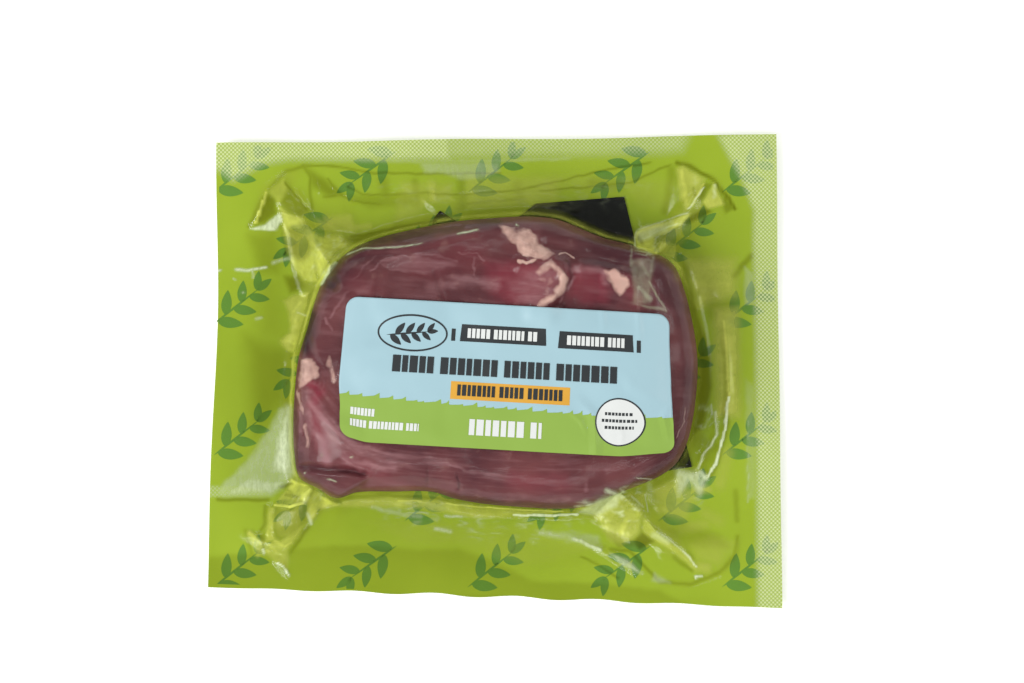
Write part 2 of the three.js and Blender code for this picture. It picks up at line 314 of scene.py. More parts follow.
@dataclass(frozen=True)
class PackShape:
    """The form of the whole pack: its outline, the steak, and the films over and under it."""

    top_left: tuple[float, float] = (-74.6, 61.2)
    top_right: tuple[float, float] = (75.2, 63.45)
    bottom_right: tuple[float, float] = (76.85, -63.45)
    bottom_left: tuple[float, float] = (-76.85, -57.8)
    cut_waves: tuple[float, ...] = (2, 1, 7, 2)
    cut_depths: tuple[float, ...] = (0.3, 0.7, 0.4, 0.1)
    cut_phases: tuple[float, ...] = (0.5, 2.6, 0.0, 2.0)
    backing_thickness: float = 0.3
    bond: float = 0.08
    flange_lift: float = 2.4
    flange_lift_run: float = 26.0
    flange_wave: float = 0.5
    flange_wave_length: float = 46.0
    middle: tuple[float, float] = (0.0, 2.0)
    steak_points: Spots = (
        (54, 1.1), (53.5, -6.9), (52.5, -13.8), (51, -19.4), (48.3, -24.4), (44.2, -27.7), (38.2, -30.4),
        (31.8, -32.9), (25.3, -35.9), (16.9, -36.6), (8, -36.2), (-2.9, -35.3), (-10.4, -34), (-16.8, -32.1),
        (-26.8, -32), (-36.7, -32.2), (-42.4, -33.8), (-47.4, -31.1), (-52.1, -28.3), (-53.5, -21.8),
        (-53.8, -13.8), (-53.3, -3.9), (-52.3, 4), (-50.2, 11), (-48, 18.9), (-46.5, 22.9), (-44.4, 26.1),
        (-41.5, 29.9), (-37.1, 33.2), (-30.7, 35.7), (-21.8, 37.9), (-11.9, 39.8), (-1.9, 40.8), (9, 41.3),
        (16.4, 40.5), (22.4, 38.2), (28.8, 35.6), (35.7, 33.8), (42.7, 31.6), (47.6, 28.4), (50.2, 22.5),
        (52, 15.9), (53.4, 8.5),
    )
    steak_height: float = 24.5
    steak_base: float = 1.6
    waist: float = 9.0
    shoulder_upper: float = 8.5
    shoulder_lower: float = 4.6
    shoulder_power: float = 2.1
    cling: float = 0.22
    drape_run: float = 1.3
    steak_outline: Outline = field(init=False)
    pack_outline: Outline = field(init=False)

    swells: tuple[Stroke, ...] = (
        Stroke(((4, 25),), 22, 1.3),
        Stroke(((30, 23),), 17, -1.4),
        Stroke(((-47, -12),), 14, 1.1),
        Stroke(((-24, 28),), 19, 0.9),
        Stroke(((8, -27),), 24, 0.8),
        Stroke(((40, -20),), 20, -0.8),
    )

    def __post_init__(self) -> None:
        """Works out the two outlines."""
        steak = loop_curve(self.steak_points, 12)
        object.__setattr__(self, "steak_outline", Outline(self.middle, steak))
        t = np.linspace(-1, 1, 400, endpoint=False)
        one = np.ones_like(t)
        turned = ((t, one), (one, -t), (-t, -one), (-one, t))
        sides = np.concatenate([self.edge_point(a, b) for a, b in turned])
        object.__setattr__(self, "pack_outline", Outline(self.middle, sides))

    def side(self, number: int, share: Array) -> Array:
        """Points along a cut side: 0 top, 1 left, 2 bottom and 3 right, anticlockwise from the top right."""
        corners = np.array([self.top_right, self.top_left, self.bottom_left, self.bottom_right])
        start, end = corners[number], corners[(number + 1) % 4]
        along = end - start
        outwards = np.array([along[1], -along[0]]) / np.linalg.norm(along)
        turn = 2 * math.pi * self.cut_waves[number] * share + self.cut_phases[number]
        wave = self.cut_depths[number] * np.sin(math.pi * share) * (np.sin(turn) - 1.0)
        return start + share[..., None] * along + wave[..., None] * outwards

    def edge_point(self, a: Array, b: Array) -> Array:
        """The pack's outline where the square's edge point (a, b) goes."""
        point = self.side(2, (a + 1) / 2)
        for taken, number, share in (
            (a >= np.abs(b), 3, (b + 1) / 2),
            ((b > np.abs(a)) | ((b == -a) & (b > 0)), 0, (1 - a) / 2),
            ((-a > np.abs(b)) | ((a == b) & (a < 0)), 1, (1 - b) / 2),
        ):
            point = np.where(taken[..., None], self.side(number, share), point)
        return point

    def polar(self, x: Array, y: Array) -> tuple[Array, Array]:
        """The angle and the distance of each point from the steak's middle."""
        dx, dy = x - self.middle[0], y - self.middle[1]
        return np.arctan2(dy, dx), np.hypot(dx, dy)

    def outside(self, x: Array, y: Array) -> Array:
        """How far each point is outside the steak's outline along its ray, below 0 inside."""
        angle, radius = self.polar(x, y)
        return radius - self.steak_outline.reach(angle)

    def edge_share(self, x: Array, y: Array) -> Array:
        """The share of the way from the steak to the pack's edge, from 0 to 1."""
        angle, radius = self.polar(x, y)
        steak = self.steak_outline.reach(angle)
        return np.clip((radius - steak) / (self.pack_outline.reach(angle) - steak), 0.0, 1.0)

    def lift(self, x: Array, y: Array) -> Array:
        """How far the backing's lower face rises off the surface."""
        rise = smooth(self.outside(x, y), 0.0, self.flange_lift_run)
        along = (x + 0.6 * y) * (2 * math.pi / self.flange_wave_length)
        wave = self.flange_wave * np.sin(along) * self.edge_share(x, y) ** 2
        return (self.flange_lift + wave) * rise

    def floor(self, x: Array, y: Array) -> Array:
        """The backing's upper face."""
        return self.lift(x, y) + self.backing_thickness

    def crown(self, angle: Array, share: Array, x: Array, y: Array) -> Array:
        """The steak's top without its fine relief."""
        lowness = (1.0 - np.sin(angle)) / 2.0
        flatness = self.shoulder_upper + (self.shoulder_lower - self.shoulder_upper) * lowness
        fall = np.clip(1.0 - np.clip(share, 0, 1) ** flatness, 0.0, 1.0) ** (1.0 / self.shoulder_power)
        swell = sum(stroke.at(x, y) for stroke in self.swells)
        return self.waist + (self.steak_height - self.waist + swell) * fall


@dataclass(frozen=True)
class RingGrid:
    """Spreads a square grid over the pack: its square rings become outlines round the steak."""

    shape: PackShape
    steak_ring: float = 0.6
    shoulder_ease: float = 1.5
    foot_ease: float = 1.3

    def place(self, u: Array, v: Array, cling: float = 0.0) -> tuple[Array, Array]:
        """Where the square's points go.

        Args:
            u: The square's first coordinate, from -1 to 1.
            v: The square's second coordinate, from -1 to 1.
            cling: How far outside the steak the ring at its outline lies.

        Returns:
            The points' x and y.
        """
        ring = np.maximum(np.abs(u), np.abs(v))
        off = ring > TINY
        safe = np.where(off, ring, 1.0)
        edge = self.shape.edge_point(np.where(off, u / safe, 1.0), np.where(off, v / safe, 0.0))
        away = edge - np.array(self.shape.middle)
        far = np.hypot(away[..., 0], away[..., 1])
        angle = np.arctan2(away[..., 1], away[..., 0])
        steak = self.shape.steak_outline.reach(angle) + cling
        inner = 1.0 - (1.0 - np.clip(ring / self.steak_ring, 0, 1)) ** self.shoulder_ease
        outer = np.clip((ring - self.steak_ring) / (1.0 - self.steak_ring), 0, 1) ** self.foot_ease
        radius = steak * inner + (far - steak) * outer
        x = self.shape.middle[0] + radius * np.cos(angle)
        y = self.shape.middle[1] + radius * np.sin(angle)
        return x, y


def mesh_piece(name: str, bm: BMesh, smooth_faces: bool = True) -> Piece:
    """Turns a bmesh into a piece at the origin.

    Args:
        name: The piece's name.
        bm: The finished bmesh, which is freed.
        smooth_faces: Whether its faces are shaded smooth.

    Returns:
        The new object, linked to the scene.
    """
    mesh = bpy.data.meshes.new(name)
    bm.to_mesh(mesh)
    bm.free()
    if smooth_faces:
        mesh.shade_smooth()
    piece = bpy.data.objects.new(name, mesh)
    bpy.context.scene.collection.objects.link(piece)
    return piece


def vertices(mesh: bpy.types.Mesh) -> Array:
    """The mesh's vertices in millimetres, one row each."""
    flat = np.zeros(len(mesh.vertices) * 3)
    mesh.vertices.foreach_get("co", flat)
    return flat.reshape(-1, 3) / MM


def move_vertices(mesh: bpy.types.Mesh, points: Array) -> None:
    """Moves the mesh's vertices to points given in millimetres."""
    mesh.vertices.foreach_set("co", (points * MM).ravel())
    mesh.update()


def grid_piece(
    name: str,
    columns: int,
    lines: int,
    place: Place,
    keep: Callable[[float, float], bool] | None = None,
) -> Piece:
    """A sheet from a grid.

    Args:
        name: The piece's name.
        columns: The grid's faces along u.
        lines: The grid's faces along v.
        place: Gives each point in millimetres for u and v from -1 to 1.
        keep: Says of a face's middle whether the face stays, or None to keep all.

    Returns:
        The new piece.
    """
    bm = bmesh.new()
    bmesh.ops.create_grid(bm, x_segments=columns, y_segments=lines, size=1.0)
    if keep:
        lost = [face for face in bm.faces if not keep(*face.calc_center_median()[:2])]
        bmesh.ops.delete(bm, geom=lost, context="FACES")
    piece = mesh_piece(name, bm)
    flat = vertices(piece.data) * MM
    move_vertices(piece.data, place(flat[:, 0], flat[:, 1]))
    return piece


def add_mask(piece: Piece, name: str, values: Array) -> None:
    """Stores one number a vertex, for a material to read by name."""
    attribute = piece.data.attributes.new(name, "FLOAT", "POINT")
    attribute.data.foreach_set("value", np.asarray(values, np.float32))


def thicken(piece: Piece, thickness: float, offset: float) -> None:
    """Gives a sheet a thickness in millimetres and applies it: offset -1 grows it inwards, 1 outwards."""
    modifier = piece.modifiers.new("thickness", "SOLIDIFY")
    modifier.thickness = thickness * MM
    modifier.offset = offset
    depsgraph = bpy.context.evaluated_depsgraph_get()
    solid = bpy.data.meshes.new_from_object(piece.evaluated_get(depsgraph))
    piece.modifiers.clear()
    old = piece.data
    piece.data = solid
    bpy.data.meshes.remove(old)


def finish_piece(piece: Piece, material: bpy.types.Material, slot: str, *replaced: str) -> None:
    """Dresses a piece, sets it on the body and hides the imported nodes that it stands for."""
    piece.data.materials.clear()
    piece.data.materials.append(material)
    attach(piece, BODY)
    if replaced:
        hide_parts(*replaced)
    log.info("%s: %d faces", piece.name, len(piece.data.polygons))


def srgb(red: int, green: int, blue: int) -> Colour:
    """A screen colour from 0 to 255 as linear light."""
    shares = (channel / 255 for channel in (red, green, blue))
    return tuple(share / 12.92 if share <= 0.04045 else ((share + 0.055) / 1.055) ** 2.4 for share in shares)


class Graph:
    """A material's or group's node tree, with short ways to add and join nodes."""

    def __init__(self, tree: bpy.types.NodeTree) -> None:
        """Takes the tree that the nodes go in."""
        self.tree = tree

    def add(self, kind: str, **values: object) -> bpy.types.Node:
        """Adds a node: a value goes to the input of that name, or else to the node's own setting."""
        node = self.tree.nodes.new(kind)
        for key, value in values.items():
            if hasattr(node, key):
                setattr(node, key, value)
            else:
                self.feed(node.inputs[key.replace("_", " ")], value)
        return node

    def feed(self, socket: Socket, value: object) -> None:
        """Joins an output to an input, or sets the input's plain value."""
        if isinstance(value, Socket):
            self.tree.links.new(value, socket)
        elif isinstance(value, tuple) and len(value) == 3 and socket.type == "RGBA":
            socket.default_value = (*value, 1.0)
        else:
            socket.default_value = value

    def maths(self, operation: str, first: object, second: object = 0.0, clamp: bool = False) -> Socket:
        """One sum of two values."""
        node = self.tree.nodes.new("ShaderNodeMath")
        node.operation = operation
        node.use_clamp = clamp
        self.feed(node.inputs[0], first)
        self.feed(node.inputs[1], second)
        return node.outputs[0]

    def times(self, first: object, second: object) -> Socket:
        """One value times another."""
        return self.maths("MULTIPLY", first, second)

    def plus(self, first: object, second: object) -> Socket:
        """One value plus another."""
        return self.maths("ADD", first, second)

    def mix(self, share: object, first: bpy.types.Node, second: bpy.types.Node) -> bpy.types.Node:
        """A shader between two, by share."""
        node = self.add("ShaderNodeMixShader", Fac=share)
        self.feed(node.inputs[1], first.outputs[0])
        self.feed(node.inputs[2], second.outputs[0])
        return node

    def blend(self, share: object, first: object, second: object) -> Socket:
        """A colour between two, by share."""
        node = self.tree.nodes.new("ShaderNodeMix")
        node.data_type = "RGBA"
        self.feed(node.inputs[0], share)
        self.feed(node.inputs[6], first)
        self.feed(node.inputs[7], second)
        return node.outputs[2]

    def mask(self, name: str) -> Socket:
        """A number stored on the piece's vertices."""
        return self.add("ShaderNodeAttribute", attribute_name=name).outputs["Fac"]

    def spread(self, value: object, low: float, high: float, to_low: float = 0, to_high: float = 1) -> Socket:
        """A value's range moved to another and kept inside it."""
        node = self.tree.nodes.new("ShaderNodeMapRange")
        self.feed(node.inputs[0], value)
        for index, number in enumerate((low, high, to_low, to_high)):
            node.inputs[index + 1].default_value = number
        return node.outputs[0]

    def object_space(self, scale: tuple[float, float, float] = (1, 1, 1), turn: float = 0.0) -> Socket:
        """The piece's own coordinates in metres, turned about Z and then scaled."""
        spot = self.add("ShaderNodeTexCoord").outputs["Object"]
        mapping = self.add("ShaderNodeMapping", Vector=spot)
        mapping.inputs["Rotation"].default_value = (0, 0, turn)
        mapping.inputs["Scale"].default_value = scale
        return mapping.outputs[0]

    def noise(self, vector: Socket, scale: object, detail: float = 3.0, rough: float = 0.5) -> Socket:
        """Cloudy noise, from 0 to 1."""
        node = self.add("ShaderNodeTexNoise", Vector=vector, Scale=scale, Detail=detail, Roughness=rough)
        return node.outputs["Fac"]

    def bump(self, height: object, strength: float, distance: float) -> Socket:
        """A normal from a height, with distance in millimetres."""
        return self.add("ShaderNodeBump", Height=height, Strength=strength, Distance=distance * MM).outputs[0]


def new_material(name: str) -> tuple[bpy.types.Material, Graph, bpy.types.Node]:
    """A new material, its graph and its output node."""
    material = bpy.data.materials.new(name)
    material.use_nodes = True
    tree = material.node_tree
    tree.nodes.clear()
    return material, Graph(tree), tree.nodes.new("ShaderNodeOutputMaterial")


@dataclass(frozen=True)
class MottleEffect:
    """A shared effect: soft uneven patches with finer grain in them, as a mask and a height."""

    name: str = "mottle"
    sockets: tuple[tuple[str, str, str], ...] = (
        ("Vector", "INPUT", "NodeSocketVector"),
        ("Patches", "INPUT", "NodeSocketFloat"),
        ("Grain", "INPUT", "NodeSocketFloat"),
        ("Mask", "OUTPUT", "NodeSocketFloat"),
        ("Height", "OUTPUT", "NodeSocketFloat"),
    )
    grain_share: float = 0.3

    def group(self) -> bpy.types.NodeTree:
        """The effect's node group, built once."""
        found = bpy.data.node_groups.get(self.name)
        if found:
            return found
        tree = bpy.data.node_groups.new(self.name, "ShaderNodeTree")
        for socket, way, kind in self.sockets:
            tree.interface.new_socket(socket, in_out=way, socket_type=kind)
        graph = Graph(tree)
        vector, patches, grain = tree.nodes.new("NodeGroupInput").outputs[:3]
        mask, height = tree.nodes.new("NodeGroupOutput").inputs[:2]
        cloudy, grainy = graph.noise(vector, patches, 3.0), graph.noise(vector, grain, 2.0)
        graph.feed(mask, graph.spread(graph.plus(cloudy, graph.times(grainy, self.grain_share)), 0.45, 0.85))
        graph.feed(height, grainy)
        return tree

    def use(self, graph: Graph, vector: object, patches: float, grain: float) -> bpy.types.Node:
        """Places the effect in a material with its own patch and grain scales."""
        node = graph.tree.nodes.new("ShaderNodeGroup")
        node.node_tree = self.group()
        for socket, value in zip(node.inputs, (vector, patches, grain)):
            graph.feed(socket, value)
        return node


@dataclass(frozen=True)
class PrintedFinish:
    """An even print colour on film or paper, with a little mottle and grain."""

    name: str
    colour: Colour
    shade: Colour
    roughness: float = 0.42
    coat: float = 0.0
    patches: float = 60.0
    grain: float = 2500.0
    relief: float = 0.01
    gloss: float = 0.3
    coat_roughness: float = 0.2

    def build(self) -> bpy.types.Material:
        """The finish as a material."""
        material, graph, output = new_material(self.name)
        mottle = MottleEffect().use(graph, graph.object_space(), self.patches, self.grain)
        colour = graph.blend(mottle.outputs["Mask"], self.shade, self.colour)
        shader = graph.add("ShaderNodeBsdfPrincipled", Base_Color=colour, Roughness=self.roughness)
        shader.inputs["Specular IOR Level"].default_value = self.gloss
        shader.inputs["Coat Weight"].default_value = self.coat
        shader.inputs["Coat Roughness"].default_value = self.coat_roughness
        graph.feed(shader.inputs["Normal"], graph.bump(mottle.outputs["Height"], 0.5, self.relief))
        graph.feed(output.inputs["Surface"], shader.outputs[0])
        return material


@dataclass(frozen=True)
class MeatFinish:
    """Raw beef: dark lean meat with redder patches, pale fat, silverskin and fine fibres, with painted sheen
    and painted shade.
    """

    name: str = "raw_meat"
    lean_dark: Colour = (0.070, 0.018, 0.024)
    lean: Colour = (0.142, 0.042, 0.046)
    red: Colour = (0.200, 0.028, 0.045)
    fat: Colour = (0.60, 0.40, 0.34)
    # Silverskin; the same pale colour is painted sheen where the film over the meat reflects light.
    skin_and_sheen: Colour = (0.33, 0.165, 0.18)
    # Painted shade: darkens hollows, creases and the steak's walls.
    painted_shade: Colour = (0.030, 0.008, 0.013)
    fat_shade: Colour = (0.50, 0.30, 0.26)
    patches: float = 90.0
    grain: float = 1100.0
    fibre_scale: float = 420.0
    cloud_scale: float = 48.0
    thread_scale: float = 190.0
    edge_scale: float = 320.0
    roughness: float = 0.55
    gloss: float = 0.12
    depth: float = 0.1
    depth_reach: Colour = (1.0, 0.35, 0.25)
    depth_scale: float = 1.2
    relief: float = 0.12

    def build(self) -> bpy.types.Material:
        """The finish as a material that reads the masks of streaks, red, fat, silverskin with painted sheen,
        and painted shade.
        """
        material, graph, output = new_material(self.name)
        space = graph.object_space()
        mottle = MottleEffect().use(graph, space, self.patches, self.grain)
        fibres = graph.noise(graph.object_space((1.0, 4.0, 1.0), 0.15), self.fibre_scale, 4.0, 0.6)
        clouds = graph.noise(space, self.cloud_scale, 4.0, 0.55)
        streak = graph.mask("streak")
        colour = graph.blend(graph.spread(clouds, 0.36, 0.64), self.lean_dark, self.lean)
        uneven = graph.spread(mottle.outputs["Mask"], 0.0, 1.0, 0.55, 1.0)
        colour = graph.blend(graph.times(graph.mask("red"), uneven), colour, self.red)
        thin = graph.spread(graph.plus(streak, graph.times(fibres, 0.5)), 0.72, 1.15, 0.0, 0.16)
        colour = graph.blend(thin, colour, self.skin_and_sheen)
        # Silverskin along its band, and painted sheen from the film's reflections over the meat.
        drawn = graph.spread(streak, 0.25, 0.75, 0.45, 1.0)
        skin_and_sheen_share = graph.plus(drawn, graph.spread(fibres, 0.35, 0.65, -0.15, 0.15))
        skin_and_sheen_share = graph.maths("MULTIPLY", graph.mask("skin_and_sheen"), skin_and_sheen_share, clamp=True)
        colour = graph.blend(skin_and_sheen_share, colour, self.skin_and_sheen)
        threads = graph.noise(space, self.thread_scale, 7.0, 0.68)
        colour = graph.blend(graph.spread(threads, 0.60, 0.70, 0.0, 0.1), colour, self.fat)
        rough = graph.spread(graph.noise(space, self.edge_scale, 4.0, 0.6), 0.3, 0.7, -0.16, 0.16)
        fat = graph.spread(graph.plus(graph.mask("fat"), rough), 0.28, 0.72)
        tone = graph.blend(graph.spread(clouds, 0.3, 0.7), self.fat_shade, self.fat)
        # Painted shade over the meat's colour.
        colour = graph.blend(graph.mask("painted_shade"), graph.blend(fat, colour, tone), self.painted_shade)
        height = graph.plus(fibres, graph.times(mottle.outputs["Height"], 0.5))
        shader = graph.add("ShaderNodeBsdfPrincipled", Base_Color=colour, Roughness=self.roughness)
        shader.inputs["Specular IOR Level"].default_value = self.gloss
        shader.inputs["Subsurface Weight"].default_value = self.depth
        shader.inputs["Subsurface Radius"].default_value = self.depth_reach
        shader.inputs["Subsurface Scale"].default_value = self.depth_scale * MM
        graph.feed(shader.inputs["Normal"], graph.bump(height, 0.5, self.relief))
        graph.feed(output.inputs["Surface"], shader.outputs[0])
        return material


@dataclass(frozen=True)
class Tent:
    """Film stretched from a high point down to a foot line round it, with creases that run outwards."""

    top: tuple[float, float]
    height: float
    foot: Spots
    power: float = 1.6
    folds: float = 9.0
    fold_height: float = 0.8
    seed: int = 1
    turns: tuple[float, ...] = (-0.09, -0.045, 0.0, 0.045, 0.09)

    def outline(self) -> Outline:
        """The foot line as an outline about the high point."""
        corners = np.array(self.foot + (self.foot[0],))
        share = np.linspace(0, 1, 16, endpoint=False)[:, None]
        sides = [a + share * (b - a) for a, b in zip(corners[:-1], corners[1:])]
        return Outline(self.top, np.concatenate(sides))

    def at(self, x: Array, y: Array) -> tuple[Array, Array]:
        """The tent's height and its share of the way from the foot line, 1 at the top."""
        dx, dy = x - self.top[0], y - self.top[1]
        angle = np.arctan2(dy, dx)
        outline = self.outline()
        reach = np.mean([outline.reach(angle + turn) for turn in self.turns], axis=0)
        share = np.clip(1.0 - np.hypot(dx, dy) / reach, 0.0, 1.0)
        rays = Noise(self.seed, 1.0).at(angle * self.folds, np.hypot(dx, dy) / 9.0)
        fine = Noise(self.seed + 1, 1.0).at(angle * self.folds * 2.7, np.hypot(dx, dy) / 6.0)
        creases = self.fold_height * (np.abs(rays) + 0.45 * np.abs(fine))
        return self.height * share ** self.power + creases * np.sqrt(share) * smooth(share, 0.0, 0.25), share


@dataclass(frozen=True)
class FilmFinish:
    """Clear film: it lets light pass and mirrors a little, and painted lime light makes its slack folds look
    pale lime.
    """

    name: str = "clear_film"
    touching: Colour = (0.985, 0.985, 0.965)
    slack: Colour = (0.99, 0.965, 0.92)
    shaded: Colour = (0.60, 0.56, 0.34)
    # Painted lime light: a lime colour standing in for light caught between the film and the backing.
    painted_lime_light: Colour = (0.60, 0.64, 0.105)
    sheen: Colour = (0.72, 0.76, 0.30)
    # A white for the film's milky haze and for painted glints and white reflections.
    haze_and_glints: Colour = (0.68, 0.76, 0.50)
    pressed: Colour = (0.76, 0.86, 0.42)
    glass: Colour = (1.0, 1.0, 1.0)
    index: float = 1.5
    roughness: float = 0.13
    knurl_pitch: float = 1.09
    most_mirror: float = 0.16
    sheen_roughness: float = 0.38
    sheen_share: float = 0.13
    fine_scale: float = 420.0
    ridge_scale: float = 210.0
    cloth_scale: float = 260.0
    streak_scale: float = 420.0
    pressed_dots: float = 0.5
    pressed_ground: float = 0.2
    relief: float = 0.12

    def knurl(self, graph: Graph) -> Socket:
        """Small raised dots of the pressed seal, in staggered lines."""
        spot = graph.add("ShaderNodeSeparateXYZ", Vector=graph.object_space())
        turns = [graph.times(spot.outputs[axis], 2 * math.pi / (self.knurl_pitch * MM)) for axis in (0, 1)]
        return graph.spread(graph.times(*(graph.maths("SINE", turn) for turn in turns)), -0.35, 0.45)

    def mirror(self, graph: Graph, normal: Socket, shade: Socket) -> Socket:
        """How much the film mirrors: less where it touches the meat and where it is shaded."""
        back = graph.add("ShaderNodeNewGeometry").outputs["Backfacing"]
        index = graph.spread(back, 0.0, 1.0, self.index, 1.0 / self.index)
        share = graph.add("ShaderNodeFresnel", IOR=index, Normal=normal).outputs[0]
        share = graph.maths("MINIMUM", share, self.most_mirror)
        share = graph.times(share, graph.spread(graph.mask("touch"), 0.0, 1.0, 0.45, 0.26))
        return graph.times(share, graph.spread(shade, 0.0, 1.0, 1.0, 0.25))

    def build(self) -> bpy.types.Material:
        """The finish as a material that reads its masks of slackness, painted shade, painted lime light, haze
        with painted glints, seal, touch and crease.
        """
        material, graph, output = new_material(self.name)
        space = graph.object_space()
        seal, shade = graph.mask("seal"), graph.mask("shade")
        dots = graph.times(self.knurl(graph), seal)
        ridge = graph.maths("SUBTRACT", graph.noise(space, self.ridge_scale, 4.0, 0.6), 0.5)
        creases = graph.spread(graph.maths("ABSOLUTE", ridge), 0.0, 0.06, 1.0, 0.0)
        creases = graph.times(graph.times(creases, graph.mask("crease")), 0.8)
        fine = graph.times(graph.noise(space, self.fine_scale, 1.0), 0.15)
        height = graph.plus(fine, graph.times(dots, 0.8))
        normal = graph.bump(graph.plus(height, creases), 0.5, self.relief)
        tint = graph.blend(graph.mask("slack"), self.touching, self.slack)
        clear = graph.add("ShaderNodeBsdfTransparent", Color=graph.blend(shade, tint, self.shaded))
        gloss = graph.add("ShaderNodeBsdfGlossy", Color=self.glass, Roughness=self.roughness, Normal=normal)
        film = graph.mix(self.mirror(graph, normal, shade), clear, gloss)
        # Painted lime light, with a little lime sheen, where its mask says; painted shade lessens it.
        lime = graph.add("ShaderNodeBsdfDiffuse", Color=self.painted_lime_light)
        sheen = graph.add(
            "ShaderNodeBsdfGlossy", Color=self.sheen, Roughness=self.sheen_roughness, Normal=normal,
        )
        painted_lime_light = graph.mix(self.sheen_share, lime, sheen)
        cloth = graph.spread(graph.noise(space, self.cloth_scale, 4.0, 0.6), 0.35, 0.65, 0.7, 1.0)
        share = graph.times(graph.times(graph.mask("painted_lime_light"), cloth), graph.spread(shade, 0.0, 1.0, 1.0, 0.3))
        film_and_lime_light = graph.mix(share, film, painted_lime_light)
        # White for the pressed seal, for the film's milky haze and for painted glints.
        white_haze_and_glint = graph.add("ShaderNodeBsdfDiffuse", Color=graph.blend(seal, self.haze_and_glints, self.pressed))
        streaks = graph.noise(graph.object_space((2.5, 1.0, 1.0), -0.2), self.streak_scale, 4.0, 0.65)
        share = graph.times(graph.mask("haze_and_glints"), graph.spread(streaks, 0.32, 0.62, 0.6, 1.0))
        pressed = graph.plus(graph.times(dots, self.pressed_dots), graph.times(seal, self.pressed_ground))
        surface = graph.mix(graph.maths("MAXIMUM", share, pressed), film_and_lime_light, white_haze_and_glint)
        graph.feed(output.inputs["Surface"], surface.outputs[0])
        return material


@dataclass(frozen=True)
class BackingFilm:
    """The green printed film that the pack lies on."""

    shape: PackShape
    cells: int = 110
    finish: PrintedFinish = PrintedFinish(
        "backing_green", (0.290, 0.395, 0.022), (0.268, 0.372, 0.019), 0.45, gloss=0.12,
    )

    def build(self) -> None:
        """Makes the film, its lower face flat under the steak."""
        rings = RingGrid(self.shape)

        def place(u: Array, v: Array) -> Array:
            """Lays the grid on the backing's upper face."""
            x, y = rings.place(u, v)
            return stacked(x, y, self.shape.floor(x, y))

        piece = grid_piece("backing", self.cells, self.cells, place)
        thicken(piece, self.shape.backing_thickness, -1.0)
        piece.data.set_sharp_from_angle(angle=math.radians(40))
        finish_piece(piece, self.finish.build(), "backing_film", "backing_film")


@dataclass(frozen=True)
class LeafPrint:
    """Leaf sprigs printed on the backing in staggered lines, turned one way and then the other."""

    shape: PackShape
    start: tuple[float, float] = (-68.0, -52.0)
    step: tuple[float, float] = (34.0, 17.6)
    columns: int = 5
    lines: int = 7
    turns: tuple[float, ...] = (38.0, 215.0)
    sprig_length: float = 19.0
    leaf_length: float = 7.2
    leaves: int = 6
    above: float = 0.02
    drawn_in: float = 1.0
    finish: PrintedFinish = PrintedFinish(
        "leaf_print", (0.112, 0.250, 0.030), (0.095, 0.215, 0.026), 0.45, gloss=0.12,
    )

    def build(self) -> None:
        """Makes all the sprigs as one piece that lies on the backing."""
        bm = bmesh.new()
        for line in range(self.lines):
            for column in range(self.columns):
                x = self.start[0] + self.step[0] * (column + 0.5 * (line % 2))
                y = self.start[1] + self.step[1] * line
                turn = math.radians(self.turns[(line + column) % len(self.turns)])
                add_sprig(bm, x, y, turn, self.sprig_length, self.leaf_length, self.leaves)
        piece = mesh_piece("leaf_print", bm)
        flat = vertices(piece.data)
        z = self.shape.floor(flat[:, 0], flat[:, 1]) + self.above
        move_vertices(piece.data, stacked(flat[:, 0], flat[:, 1], z))
        self.cut_to_pack(piece)
        finish_piece(piece, self.finish.build(), "backing_film")

    def cut_to_pack(self, piece: Piece) -> None:
        """Takes off what lies past the pack's edge."""
        bm = bmesh.new()
        bm.from_mesh(piece.data)
        corners = [self.shape.top_right, self.shape.top_left, self.shape.bottom_left, self.shape.bottom_right]
        for start, end in zip(corners, corners[1:] + corners[:1]):
            along = np.array(end) - np.array(start)
            outwards = np.array([along[1], -along[0]]) / np.linalg.norm(along)
            spot = (np.array(start) - self.drawn_in * outwards) * MM
            bmesh.ops.bisect_plane(
                bm,
                geom=bm.verts[:] + bm.edges[:] + bm.faces[:],
                plane_co=(*spot, 0.0),
                plane_no=(*outwards, 0.0),
                clear_outer=True,
            )
        bm.to_mesh(piece.data)
        bm.free()


